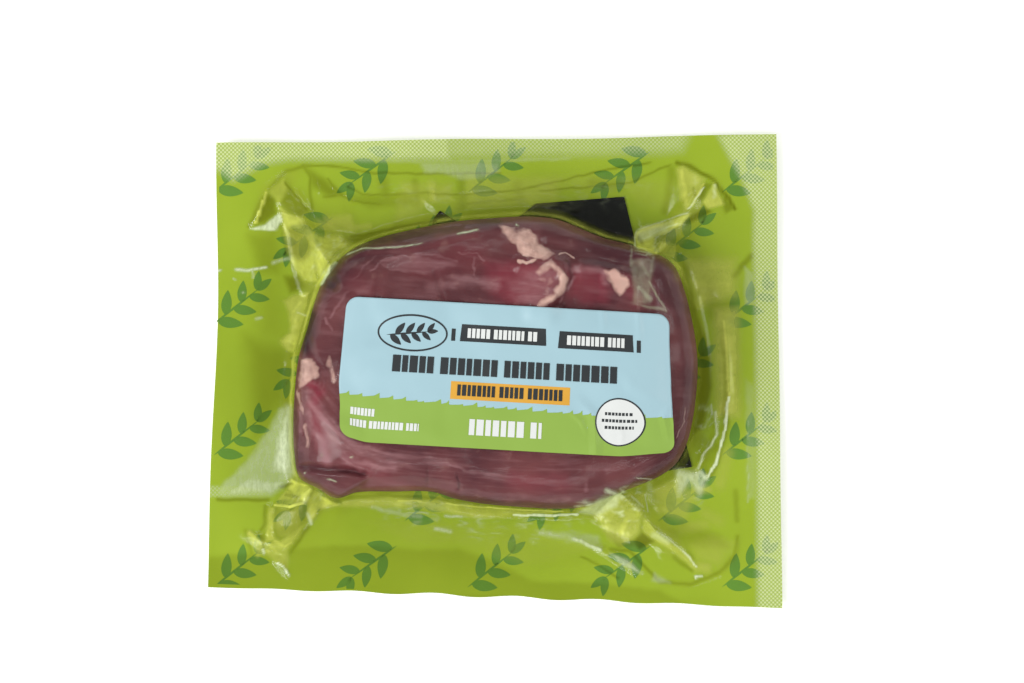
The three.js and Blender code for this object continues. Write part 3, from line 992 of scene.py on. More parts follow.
@dataclass(frozen=True)
class AbsorbentPad:
    """The black pad under the steak, askew, its upper edge slack."""

    shape: PackShape
    top_left: tuple[float, float] = (-14.8, 43.0)
    top_right: tuple[float, float] = (34.5, 46.7)
    bottom_right: tuple[float, float] = (52.7, -25.6)
    bottom_left: tuple[float, float] = (6.6, -33.2)
    thickness: float = 0.9
    slack: float = 6.0
    slack_from: float = 0.0
    slack_to: float = 0.52
    bulge: float = 3.4
    dimple_depth: float = 0.08
    dimple_turn: float = 2.1
    rim_drop: float = 0.35
    hem: float = 0.45
    columns: int = 90
    lines: int = 120
    finish: PrintedFinish = PrintedFinish(
        "black_pad", srgb(22, 25, 22), srgb(14, 16, 14), 0.8, 0.0, 300.0, 2600.0, 0.12, 0.1,
    )

    def point(self, u: Array, v: Array) -> tuple[Array, Array]:
        """A point of the pad: u from 0 to 1 along its upper edge, v from 0 to 1 down it."""
        corners = [np.array(c) for c in (self.top_left, self.top_right, self.bottom_left, self.bottom_right)]
        upper = corners[0] + u[:, None] * (corners[1] - corners[0])
        lower = corners[2] + u[:, None] * (corners[3] - corners[2])
        share = np.clip((u - self.slack_from) / (self.slack_to - self.slack_from), 0, 1)
        upper[:, 1] -= self.slack * np.sin(math.pi * share)
        spots = upper + v[:, None] * (lower - upper)
        bulge = self.bulge * np.sin(math.pi * np.clip(v / 0.12, 0, 1)) * (1.0 - u) ** 4
        return spots[:, 0] - bulge, spots[:, 1]

    def cover(self, x: Array, y: Array) -> Array:
        """How much of the pad's thickness lies under each point, falling off round it."""
        corners = [np.array(c) for c in (self.top_left, self.top_right, self.bottom_right, self.bottom_left)]
        inside = np.full_like(x, np.inf)
        for a, b in zip(corners, corners[1:] + corners[:1]):
            side = (b - a) / np.linalg.norm(b - a)
            inside = np.minimum(inside, (x - a[0]) * side[1] - (y - a[1]) * side[0])
        return self.thickness * smooth(inside, -4.5, -0.1)

    def build(self) -> None:
        """Makes the pad as a thin quilted slab."""

        def place(u: Array, v: Array) -> Array:
            """Lays the pad's upper face, pressed into small dimples."""
            x, y = self.point((u + 1) / 2, (1 - v) / 2)
            dimples = self.dimple_depth * np.sin(x * self.dimple_turn) * np.sin(y * self.dimple_turn)
            rim = self.rim_drop * smooth(np.maximum(np.abs(u), np.abs(v)), 0.93, 1.0)
            return stacked(x, y, self.shape.floor(x, y) + self.thickness + dimples - rim)

        piece = grid_piece("pad", self.columns, self.lines, place)
        thicken(piece, self.thickness - self.hem, -1.0)
        finish_piece(piece, self.finish.build(), "absorbent_pad", "absorbent_pad")


@dataclass(frozen=True)
class Steak:
    """The raw steak, with its lobes, seams and patches of fat."""

    shape: PackShape
    turns: int = 160
    rows: int = 38
    skin_band: Stroke = Stroke(
        ((-49.1, -6.8, 0.7), (-45.2, -11.7, 1), (-40.3, -16.6, 1), (-35.3, -20.5, 0.9), (-29.4, -22.1, 0.7),
         (-21.6, -23.1, 0.4), (-9.8, -24, 0), (12, -25.4, 0), (32, -25, 0), (50, -16, 0)), 2.8, 0.8,
    )
    relief: tuple[Stroke, ...] = strokes(
        (3.4, 1.3, 7, 28.3, 12.4, 27.1, 15.8, 27.7, 17.6, 26.2, 18.4, 24.2, 18, 22.1, 16.8, 20.4,
         13.8, 18.8, 11.9, 17.3),
        (2.6, -1.2, 20.2, 28.7, 20.5, 25.2, 18.4, 20.8, 17.3, 17.8),
        (2.2, 0.8, 17.3, 28.7, 24.7, 27.9, 30.6, 26.9, 35.5, 25.8),
        (3.6, -1.3, 13.8, 33.2, 21.7, 31.6, 29.6, 30, 37.5, 28.3),
        (1.8, 1, -39.3, 30.4, -35.3, 32, -29.4, 32.5, -23.5, 32.8, -19.4, 33.6, -9.8, 35.9, -4.8, 36.9),
        (2.4, -0.9, -35.3, 34.6, -23.5, 36.8, -9.8, 38.9),
        (3, 0.6, 1.4, 39, 6.1, 35.7, 9.7, 31.6, 17.2, 30.2), (2.4, -1.8, -44.4, 25.2, -42.4, 22.8),
        (1.7, -1.8, -52.1, -25.4, -49.1, -25.2, -44.2, -25.9, -39.3, -25.9, -34.4, -26.9),
        (4, 0.8, -49.1, -7.7, -45.2, -12.7, -40.3, -17.6, -35.3, -21.5, -29.4, -23.1, -21.6, -24.1),
        (2, -0.8, -49.6, 9, -48.1, 4.1, -45.6, 0.1, -46.2, -3.8),
        (1.8, -0.4, -31.4, 19.8, -29.4, 27.7, -23.5, 30.6), (1.5, -0.3, -13.7, 19.8, -15.7, 26.7),
        (2, -0.4, -51.1, -23.5, -49.6, -13.6), (1.6, -0.3, -33.4, -29.4, -23.5, -28.8, -9.8, -30.4),
        (0.9, -0.3, -17.6, -25.4, -17.6, -29.9), (0.9, -0.3, -9.8, -26.9, -9.8, -31.4),
    )
    fat: tuple[Stroke | Area, ...] = strokes(
        (2.4, 0.62, 12.1, 26.7, 14.2, 27.8, 16.4, 27.1, 18, 24.7, 17.9, 22.1, 16.8, 20.6, 14.3, 19.4,
         12.2, 17.6),
        (1.9, 0.9, 17.6, 25.3, 17.5, 22.6, 16.4, 21.2), (0.9, 0.9, 6.2, 29.1, 8.4, 28.4, 10.9, 29.9),
        (0.9, 0.75, 7.5, 31, 9.9, 30.6, 13.4, 30.8), (0.9, 0.5, 8.9, 33.2, 11.4, 32.6),
        (0.55, 0.95, 16.8, 31.1, 18.8, 31.3, 20.7, 30.1), (1.6, 0.5, -44, 4.1, -43.4, 1.1, -42.6, -2.2),
        (1, 0.5, -52.1, -5.8, -50.7, -11.7), (1.5, 0.5, -50.1, -14.1, -49.4, -20.1),
        (1.1, 0.3, 44.8, 27.7, 45.7, 24.7, 46.3, 21.8),
        (0.5, 0.6, 50, -9.7, 50.1, -11.7, 49.8, -13.6, 48.9, -15.6, 48.3, -17.6),
    ) + areas(
        (0.3, 1.6, 10.5, 25.5, 14, 27.2, 16.5, 24, 14.8, 20.8, 11.4, 18.2, 12.6, 22),
        (0.66, 1, 0.6, 39.5, 5, 38, 9.4, 37.5, 10.9, 36, 11.9, 34.1, 15.8, 31.1, 12.9, 29.6, 7, 30.6,
         4, 34.1, 1.5, 36.5),
        (0.85, 1.4, 28.4, 26.8, 31.6, 27.2, 34.4, 25.6, 35.4, 23.4, 34.8, 21, 32.8, 20, 31.6, 21.4,
         30.4, 24),
        (0.55, 0.7, -51.7, 3.6, -48.1, 3.6, -46.4, 1.1, -46.7, -1.3, -48.6, -1.8, -50.6, -4.3,
         -52.1, -5.8),
    )
    red: tuple[Stroke | Area, ...] = strokes(
        (3.4, 1, 28.2, 24.7, 28, 19.8), (3, 0.4, 34, 23.7, 37.5, 18.8),
        (2.6, 1, -50.1, -2.8, -46.2, -4.8, -48.1, -8.7),
        (3.2, 0.7, -47.6, -5.8, -47.1, -13.6, -44.2, -22.5), (7, 0.35, -19.6, 28.7, -5.8, 30.6),
        (2.6, 0.5, -10.3, 32.6, -5.8, 30.6), (4.4, 0.4, 5, -28.9, 17.8, -29.4),
        (6, 0.3, -37.3, 23.7, -33.4, 19.8), (4, 0.3, -39.3, -23.5, -29.4, -27.4),
    ) + areas(
        (0.8, 2.4, -3.9, 29.6, -2.9, 23.7, 1.1, 18.8, 7.9, 16.9, 12.9, 17.8, 15.8, 20.8, 16.3, 25.7,
         12.9, 28.7, 7, 28.7, 2, 29.6),
        (0.65, 1.6, 18.8, 27.7, 24.7, 27.5, 28.6, 26.2, 30.6, 21.8, 29.6, 18.3, 23.7, 17.3, 19.7, 19.8),
    )
    # Silverskin and painted sheen: pale reflections of the film over the meat.
    skin_and_sheen_marks: tuple[Stroke | Area, ...] = strokes(
        (2.2, 0.6, -48.1, -8.7, -43.2, -17.6, -39.3, -22.5, -35.3, -24.5, -26.5, -25),
        (0.7, 0.7, -28.5, 29.9, -24, 30.5, -19.6, 30.6), (0.7, 0.55, -20.6, 31.1, -14.7, 30.6, -9.8, 29.2),
        (1.1, 0.6, -27, 28.2, -20, 29, -13.4, 28.6), (0.35, 0.7, -33, 26.4, -29, 29.4, -25.6, 30),
        (0.3, 0.5, -37, 24.6, -34.4, 28, -31, 30.4), (0.35, 0.5, -9.6, 31.4, -5, 31, -2.6, 29),
        (0.7, 0.5, -29.9, 28, -24.5, 26.7, -16.7, 26.2, -12.7, 28.2),
        (2.6, 0.55, -16.7, 22.3, -7.8, 24.2, 0.1, 22.8), (2.2, 0.25, -25.5, 20.3, -15.7, 20.3),
        (0.35, 0.6, -5.8, 29.6, -5.8, 25.7, -4.4, 24.2), (0.7, 0.5, -38.9, 20.8, -41.7, 17.3, -43.4, 14.4),
        (0.45, 0.7, -44.6, 14.4, -44.2, 12.3, -43.4, 11), (1.6, 0.25, -32.4, 23.7, -35.8, 20.8),
        (0.6, 0.6, 20.7, 24.7, 18.3, 20.8, 17.3, 18.3),
        (1.8, 0.6, 19.7, 27.4, 24.7, 27.2, 28.4, 26.4, 29.4, 23.7),
        (0.5, 0.35, -21.6, -21.5, -14.7, -23.5, -7.8, -25.9, 1.1, -26.9),
        (2, 0.4, -49.1, -11.7, -46.7, -17.6, -44.2, -23.5), (1.2, 0.4, -51.6, -9.7, -51.3, -15.6),
        (0.3, 0.35, 0.8, -27.2, 7.9, -28, 16.1, -28.7), (0.35, 0.5, 29.3, -25.1, 29.4, -27.4),
        (0.9, 0.35, 24.3, -28.8, 23.7, -31), (2.4, 0.2, -39.3, 13.9, -41.2, 21.8),
    ) + areas(
        (0.42, 1, -28.5, 30.1, -19.6, 30.6, -9.8, 29.4, -11.7, 27.7, -16.7, 26.1, -24.5, 26.7, -29.9, 28),
        (0.52, 2.4, 4, 23.7, 11.9, 27.2, 15.8, 25.7, 16.3, 21.3, 10.9, 17.8, 6, 18.8),
    )
    # Painted shade on the meat: hollows, crease lines, the band under the crest and the walls.
    painted_shade: tuple[Stroke | Area, ...] = strokes(
        (3.6, 1, -49.3, 15.5, -49.4, 11, -50.2, 6),
        (1, 0.55, -52.1, -25.4, -49.1, -25.2, -44.2, -25.9, -39.3, -25.9, -34.4, -26.9),
        (3, 0.62, -38.3, 32.8, -30, 34.8, -24.5, 35.6, -11.7, 38, 0.1, 39.6),
        (3.4, 0.3, 49.9, 8, 51.4, 0.1, 50.8, -7.7, 48.7, -15.6, 45.7, -22.5),
        (0.8, 0.45, 19.3, 29.1, 20.1, 25.7, 18.6, 21.4),
        (2.2, 0.2, 27.6, -33.3, 37.5, -29.4, 45.3, -23.5, 48.3, -19.5),
        (1.6, 0.4, -5, -34.6, 9.9, -35.4, 20, -35.6), (0.45, 0.5, -17.6, -26.4, -17.6, -28.9),
        (0.45, 0.65, -9.8, -27.9, -9.8, -30.9),
        (1.2, 0.35, -51.7, 3.1, -52.9, -5.8, -52.9, -15.6, -51.9, -23.5),
        (1.6, 0.3, -38.3, 29.6, -33.4, 30.2, -30.4, 27.7),
    ) + areas(
        (0.75, 0.9, -45.2, 22.2, -44, 26.3, -41.4, 27.3, -40.9, 24.1, -42.7, 21.4),
        (0.16, 1.4, -51.7, -26, -34.4, -27.4, -37.3, -32.7, -42.2, -33.9, -49.7, -29.4),
        (0.34, 1.4, 11.9, 39.5, 15.8, 39.3, 23.7, 36.5, 35.5, 32.6, 37.5, 27.7, 30.6, 28.3, 23.7, 29.1,
         16.8, 30, 13.4, 32.6, 11.4, 36.5),
        (0.34, 1.6, 41.4, 31.6, 46.3, 28.2, 49.7, 21.8, 51.6, 13.9, 51.8, 6, 47.9, 10, 46.3, 16.9,
         43.4, 20.8, 41.4, 25.7),
        (0.22, 3, -47, 21, -42, 30, -30, 35, -10, 37, 0, 38, 2, 30, -2, 19, -30, 18.5),
    )
    lumps: tuple[tuple[int, float, float], ...] = ((11, 13.0, 0.4), (12, 5.5, 0.2), (13, 2.2, 0.06))
    bends: tuple[tuple[float, float], ...] = ((3.2, 0.6), (1.3, 0.32))
    ends: tuple[float, ...] = (0.0, 0.05, 0.1, 0.15, 0.2, 0.85, 1.0)
    shares: tuple[float, ...] = (0.0, 0.8, 0.92, 0.985, 1.0, 0.42, 0.0)
    wall_ends: tuple[float, ...] = (0.0, 0.06, 0.11, 0.155, 0.2)
    wall_rises: tuple[float, ...] = (0.0, 0.0, 1.2, 4.0)
    finish: MeatFinish = MeatFinish()

    def fine_relief(self, x: Array, y: Array) -> Array:
        """Lobes, seams and soft unevenness of the top."""
        lumps = sum(height * Noise(seed, size).at(x, y) for seed, size, height in self.lumps)
        return sum(stroke.at(x, y) for stroke in self.relief) + lumps

    def top(self, angle: Array, share: Array, x: Array, y: Array) -> Array:
        """The steak's upper face."""
        calm = 1.0 - smooth(share, 0.95, 1.0)
        return self.shape.crown(angle, share, x, y) + calm * self.fine_relief(x, y)

    def streaks(self, x: Array, y: Array) -> Array:
        """The grain of the meat, from 0 to 1: along the silverskin at the left, or level."""
        level = Noise(25, 2.2, 5.0, -0.16).at(x, y) + 0.4 * Noise(26, 0.9, 7.0, -0.1).at(x, y)
        run, side = self.skin_band.along(x, y)
        band = Noise(27, 1.1, 9.0).at(run, side) + 0.5 * Noise(28, 0.55, 9.0).at(run, side)
        near_band = 1.0 - smooth(np.abs(side), 4.0, 8.0)
        return np.clip(0.5 + 0.5 * (level + near_band * (band - level)), 0, 1)

    def build(self) -> None:
        """Makes the steak from a sphere whose rows become its base, waist, shoulder and top."""
        bm = bmesh.new()
        bmesh.ops.create_uvsphere(bm, u_segments=self.turns, v_segments=self.rows, radius=1.0)
        bmesh.ops.subdivide_edges(bm, edges=bm.edges[:], cuts=3, use_grid_fill=True)
        piece = mesh_piece("steak_meat", bm)
        ball = vertices(piece.data) * MM
        ball /= np.linalg.norm(ball, axis=1, keepdims=True)
        angle = np.arctan2(ball[:, 1], ball[:, 0])
        row = np.arcsin(np.clip(ball[:, 2], -1, 1)) / math.pi + 0.5
        share = np.interp(row, self.ends, self.shares)
        radius = share * self.shape.steak_outline.reach(angle)
        x = self.shape.middle[0] + radius * np.cos(angle)
        y = self.shape.middle[1] + radius * np.sin(angle)
        rises = [self.shape.steak_base + rise for rise in self.wall_rises]
        low = np.interp(row, self.wall_ends, (*rises, self.shape.waist))
        z = np.where(row < self.wall_ends[-1], low, self.top(angle, share, x, y))
        move_vertices(piece.data, stacked(x, y, z))
        self.dress(piece, x, y)
        finish_piece(piece, self.finish.build(), "raw_meat", "steak")

    def dress(self, piece: Piece, x: Array, y: Array) -> None:
        """Stores the masks that the finish reads."""
        bent_x = x + sum(away * Noise(21 + i, size).at(x, y) for i, (size, away) in enumerate(self.bends))
        bent_y = y + sum(away * Noise(23 + i, size).at(x, y) for i, (size, away) in enumerate(self.bends))
        add_mask(piece, "streak", self.streaks(x, y))
        # The skin marks hold silverskin and painted sheen; the last marks are painted shade.
        marks = {"fat": self.fat, "red": self.red, "skin_and_sheen": (*self.skin_and_sheen_marks, self.skin_band), "painted_shade": self.painted_shade}
        for name, found in marks.items():
            add_mask(piece, name, np.clip(strongest(found, bent_x, bent_y), 0, 1))


@dataclass(frozen=True)
class ClearFilm:
    """The clear film drawn down over the steak, with its folds and wrinkles."""

    shape: PackShape
    steak: Steak
    pad: AbsorbentPad
    cells: int = 404
    rings: float = 0.65
    pocket_left: float = -69.0
    pocket_right: float = 67.0
    pocket_top: float = 55.6
    pocket_bottom: float = -56.8
    pocket_corner: float = 13.0
    tents: tuple[Tent, ...] = (
        Tent(
            (-43.5, 28.0), 18.0,
            ((-52.5, 19), (-54.5, 25), (-55.5, 30), (-56.3, 35), (-57.5, 41), (-59.3, 45.5), (-61, 48.3),
             (-57, 49.6), (-53.2, 47.8), (-50, 42.3), (-43.5, 38.8), (-36, 38), (-32, 33), (-36, 22),
             (-46, 14)),
            1.7, 7.0, 0.25, 71,
        ),
        Tent(
            (41.5, 30.0), 15.0,
            ((36.3, 27), (36.5, 34), (37.6, 38.2), (44, 39.6), (48, 43), (51, 48), (54.6, 51.6), (58.8, 50.9),
             (59.6, 45.5), (56, 39.5), (51, 34), (49.5, 30), (50, 24), (44, 20)),
            1.6, 6.0, 0.2, 73,
        ),
        Tent(
            (33.0, -32.0), 12.0,
            ((20, -36), (24, -41), (30, -46), (37, -49), (44, -49), (50, -52), (56.5, -55), (55.4, -50.8),
             (50.4, -44.6), (45.6, -38.6), (43.8, -34), (43.5, -30), (36, -24)),
            2.3, 8.0, 0.12, 75,
        ),
        Tent(
            (-48.5, -30.5), 11.0,
            ((-55, -26), (-57.5, -31.5), (-60.2, -35.5), (-62, -39.5), (-65.5, -43.6), (-62.8, -46.4),
             (-60.5, -49.6), (-57.2, -50.4), (-54, -47), (-51, -43.5), (-48, -41), (-45, -38), (-39, -35.5),
             (-40, -26)),
            2.0, 8.0, 0.1, 77,
        ),
    )
    folds: tuple[Stroke, ...] = strokes(
        (4.2, 1, -60.5, 48.2, 1.2, -56, 51, 1.2, -51.5, 54.5, 0.4),
        (1.8, 1, -53.2, 48, 1.6, -50, 42.4, 0.6), (5, 1, 50.8, 55.2, 0.5, 51.2, 50, 1, 50.2, 43, 1.2),
        (4.4, 1, 58.6, 50.7, 0.45, 58.4, 46, 0.55, 61.5, 42.5, 0.2),
        (1.7, 0.8, 61.3, 12.7, 0.2, 62.2, 3.3, 0.6, 62.6, -5.8, 0.9, 61.6, -14.7, 1.2, 59.3, -23.2, 1.4,
         57.3, -27.5, 1.4, 54.7, -29.8, 1.2),
        (1.6, 0.8, 58, -9, 0.3, 59.5, -16, 0.8, 56, -23.2, 1, 54.1, -25.9, 1.2, 54.1, -28.2, 1.2,
         55, -29.5, 1),
        (1.6, 0.8, 48.9, -33.2, 0.2, 49.2, -28.2, 1, 50.6, -26.2, 1.2, 52.2, -27.4, 1.2, 54.6, -29.7, 1.2),
        (3.6, 1, 41, -41, 1.2, 44.2, -44, 0.9, 48.4, -47, 0.6, 52.4, -50.2, 0.5, 55.4, -53, 0.3),
        (2, 1, 44, -56.6, 0.3, 52, -57, 0.6, 60, -54, 0.7, 64, -49.6, 0.7, 65, -43, 0.3),
        (2.2, 1, 20, -44.4, 0.3, 27, -46.8, 0.7, 33.2, -50.4, 0.9, 38.5, -54, 0.5),
        (3, 1, -66.6, -43.2, 0.4, -62.6, -45, 0.9, -60, -45.8, 1.1, -57, -46.6, 0.9, -52, -42.4, 0.7),
        (2.2, 1, -60.6, -36.5, 0.7, -61, -41, 0.8, -60.4, -45, 0.9),
        (1.8, 1, -58.4, -50.8, 0.4, -57, -52.4, 0.6, -55.2, -54.6, 0.3),
        numbers=3,
    ) + strokes(
        (2.2, 1, -64.3, 39.9, 0.5, -62.6, 43.5, 1.4, -61, 48, 2, -58, 50.5, 1.4),
        (1.4, 1, -58.8, -35.6, 0.6, -55, -36, 1.2, -51, -35.2, 1.2),
        numbers=3,
        profile=Profile.TENT,
    )
    creases: tuple[Stroke, ...] = strokes(
        (1.2, 0.5, -51.5, 55.2, 0.2, -41.6, 54.7, 0.5, -33, 53.1, 0.5, -15, 52.8, 0.5, 1.3, 53.1, 0.2),
        (1.2, 0.5, -44.8, 51.5, 0.3, -42.2, 48.3, 0.6, -40.5, 46.7, 0.4),
        (1.3, 0.5, -46, 46.6, 0.3, -41.6, 47.2, 0.6, -38.4, 45.6, 0.5, -30.9, 44.6, 0.3),
        (1.3, 0.5, -39.5, 49.4, 0.2, -35.2, 47.2, 0.6, -28.2, 47.2, 0.6, -20.2, 47.8, 0.6, -9.4, 47.2, 0.6,
         1.3, 48.3, 0.2),
        (1.3, 0.5, -1, 48, 0.2, 4, 48.3, 0.5, 14.7, 50.4, 0.5, 28.6, 53.7, 0.5, 41.5, 55.8, 0.2),
        (1.3, 0.5, 12, 48.3, 0.2, 30.8, 49.9, 0.5, 36.1, 50.4, 0.6, 46.8, 55.3, 0.2),
        (1.2, 0.5, -48.6, 52.6, 0.4, -47.6, 49, 0.6, -48, 45.9, 0.3),
        numbers=3,
    ) + strokes(
        (0.7, 1, 41.3, 24, 0.5, 43.5, 20, 0.5, 46, 16, 0.4),
        (0.7, 1, 36.8, 33, 0.9, 36.3, 28, 0.9, 37.2, 22, 0.7, 37.2, 18, 0.4),
        (0.7, 1, 42.6, 31, 0.9, 41.8, 27, 0.9, 41.2, 22, 0.7, 40.4, 18.6, 0.4),
        numbers=3,
        profile=Profile.TENT,
    )
    # Painted lime light: patches and lines where folds and slack film look pale lime from light caught
    # between film and backing.
    painted_lime_light: tuple[Stroke | Area, ...] = strokes(
        (2.8, 0.5, -17, 49.6, -16.8, 46.6), (2.4, 0.85, -53.5, 13.6, -53.2, 11.8),
        (1.8, 0.8, -56, 8.2, -54, 7.4), (1.6, 0.85, 49.8, 53.6, 50.6, 49, 51, 44.6),
        (4.2, 0.6, 58, 24.4, 62, 23.4), (1, 0.6, 63.2, 4, 63.3, -8), (2, 0.8, -52.4, 18.6, -54, 16),
        (0.9, 0.75, -53.7, 5, -54.2, 0, -54.6, -9), (1.2, 0.7, -65.8, -43.2, -62.6, -46, -60.6, -48.6),
        (1.1, 0.75, -59, -45.4, -56.2, -47, -54.6, -46), (1, 0.7, -60.5, -46.4, -58.5, -48.4),
        (0.5, 0.9, -26, -34.7, -20, -34.7), (0.5, 0.9, -13, -35.5, -5, -36.2, 8, -36.9, 18, -37.4),
        (2.6, 0.8, 35, -40, 33.5, -43.6), (3, 0.3, 50, -42, 56, -41), (3.4, 0.3, 62, -22, 60, -30),
        (2, 0.45, 52, -32.5, 57, -31.5), (3, 0.25, 56, -38, 60, -40),
    ) + strokes(
        (0.5, 0.95, -64, 39.7, -62.8, 43, -60.9, 47.8), (0.45, 1, 55.7, 49.9, 54.6, 47.4, 52.7, 44.6),
        (0.4, 0.9, 61.2, 13.4, 62.1, 3, 62.4, -8), (0.5, 1, -58.8, -35.7, -55, -36, -51.3, -35.3),
        profile=Profile.PATCH,
    ) + areas(
        (0.38, 0.8, -60.9, 48.3, -56.6, 51.5, -55, 48.3, -57.7, 44.6),
        (0.7, 0.8, -57.7, 44, -55, 41.9, -50.7, 41.3, -49.1, 38.1, -47, 36, -45.9, 33.8, -47, 31.2,
         -48, 28.5, -47, 23.6, -51.3, 24.2, -53.9, 27.4, -55.5, 31.7, -56.6, 37.1, -57.2, 40.8),
        (0.85, 1.2, -47.4, 36.4, -41.6, 36.4, -38.4, 34.2, -42.7, 31.2, -44.8, 27.4, -47, 24.2, -48.5, 30),
        (0.4, 1, -49, 41.5, -42, 39, -33, 39.6, -33, 38.2, -42, 36.8, -48.5, 38),
        (0.45, 1.2, -46, 41.5, -38.5, 42, -37, 37.4, -46, 38.5),
        (0.3, 1.5, -25, 50.5, -11.5, 50, -11, 45.5, -18, 44.6, -22, 41.5, -27, 40),
        (0.16, 2, -12, 43, 6, 44.5, 12, 48.5, 34, 50, 40, 44, 48, 43, 48, 51, 20, 52, -10, 48),
        (0.66, 0.9, -56.5, 19, -53.5, 20.4, -49.6, 21.5, -51, 13, -52.6, 7.5, -53.4, 4.6, -55.4, 5.4,
         -57.8, 8.2, -55, 10.2, -55.2, 15),
        (0.56, 0.8, 48.4, 54.2, 50, 55.3, 56, 51.5, 55.4, 48.3, 52.2, 43.5, 50.6, 42.4, 49.5, 45.6,
         49, 49.9),
        (0.75, 0.6, 58.4, 50.4, 61.3, 44.6, 57, 43.5, 55.4, 45.1),
        (0.9, 0.6, 37.7, 37.1, 39.3, 38.6, 46.8, 40.3, 52.2, 42.4, 51.6, 40.8, 50, 39.2, 46.8, 37.6,
         44.2, 36, 39.3, 35.5, 37.2, 36),
        (0.9, 0.7, 37.4, 37, 42.5, 37, 43, 31, 40.4, 30.6, 37.6, 32),
        (0.6, 1, 42.5, 35, 48.6, 34, 48.2, 29.6, 43, 31.2),
        (0.58, 2.5, 51.5, 30, 64, 30, 64.6, 20, 59, 18.5, 54, 17),
        (0.66, 1.8, 58.5, 17, 65, 17, 65.4, -12, 59.5, -12),
        (0.44, 1.8, 42, -31.5, 50, -27.5, 54, -34, 51, -40, 43, -38),
        (0.3, 1.8, -8, 52, 18, 52, 16, 45, 8, 44, -8, 43.4),
        (0.9, 0.8, -54.5, -28.9, -50.2, -30, -45.9, -33.2, -42.7, -35.3, -41.6, -35.8, -47, -36.9,
         -49.1, -40.1, -50.7, -39, -50.2, -35.8, -55.5, -31.6),
        (0.55, 0.5, -56.1, -31.6, -51.3, -32.6, -50.7, -35.3, -58.8, -35.8, -57.7, -33.7),
        (0.6, 0.5, -60.7, -36.4, -59, -36.4, -59.3, -41.2, -58.8, -45, -61.4, -45.5, -60.9, -40.1),
        (0.4, 0.8, -57.7, -37.4, -51.3, -35.8, -50.2, -38, -53.4, -43.9, -57.7, -44.4, -59.3, -41.2),
        (0.5, 0.7, -66.3, -42.8, -61.4, -45.5, -57.7, -45.5, -54.5, -42.8, -50.2, -40.1, -53.4, -45,
         -55.5, -48.2, -55.5, -53.5, -58.8, -50.9, -62, -48.7, -63.6, -49.8),
        (0.5, 0.9, -41, -36.2, -20, -36.8, -5, -39.4, 12, -38.6, 20, -37.4, 14, -36.8, -4, -36.4,
         -16, -34.4, -30, -33.4, -41, -34.6),
        (0.12, 1.5, -35, -40, 8, -41, 30, -47, 8, -52, 0, -49.5, -10, -46, -22, -46),
        (0.55, 1.2, 20, -36.2, 30.8, -33, 36.1, -32.1, 40.4, -32.6, 39.9, -36.9, 38.8, -40.1, 38.3, -43.9,
         34, -46.6, 30.8, -45.5, 27.5, -40.1, 25.4, -38),
        (0.5, 0.6, 39.3, -39, 40.9, -40.1, 44.2, -43.9, 48.4, -46.6, 52.2, -49.8, 54.9, -52.5, 53.3, -53,
         46.8, -47.6, 42.5, -45.5, 39.3, -42.8),
        (0.4, 1.2, 53.6, -50.7, 58.1, -51.4, 57.6, -54, 53.4, -53.8),
        (0.3, 2, 52, -46, 58, -44, 64, -46, 60, -52, 54, -50.5),
    )
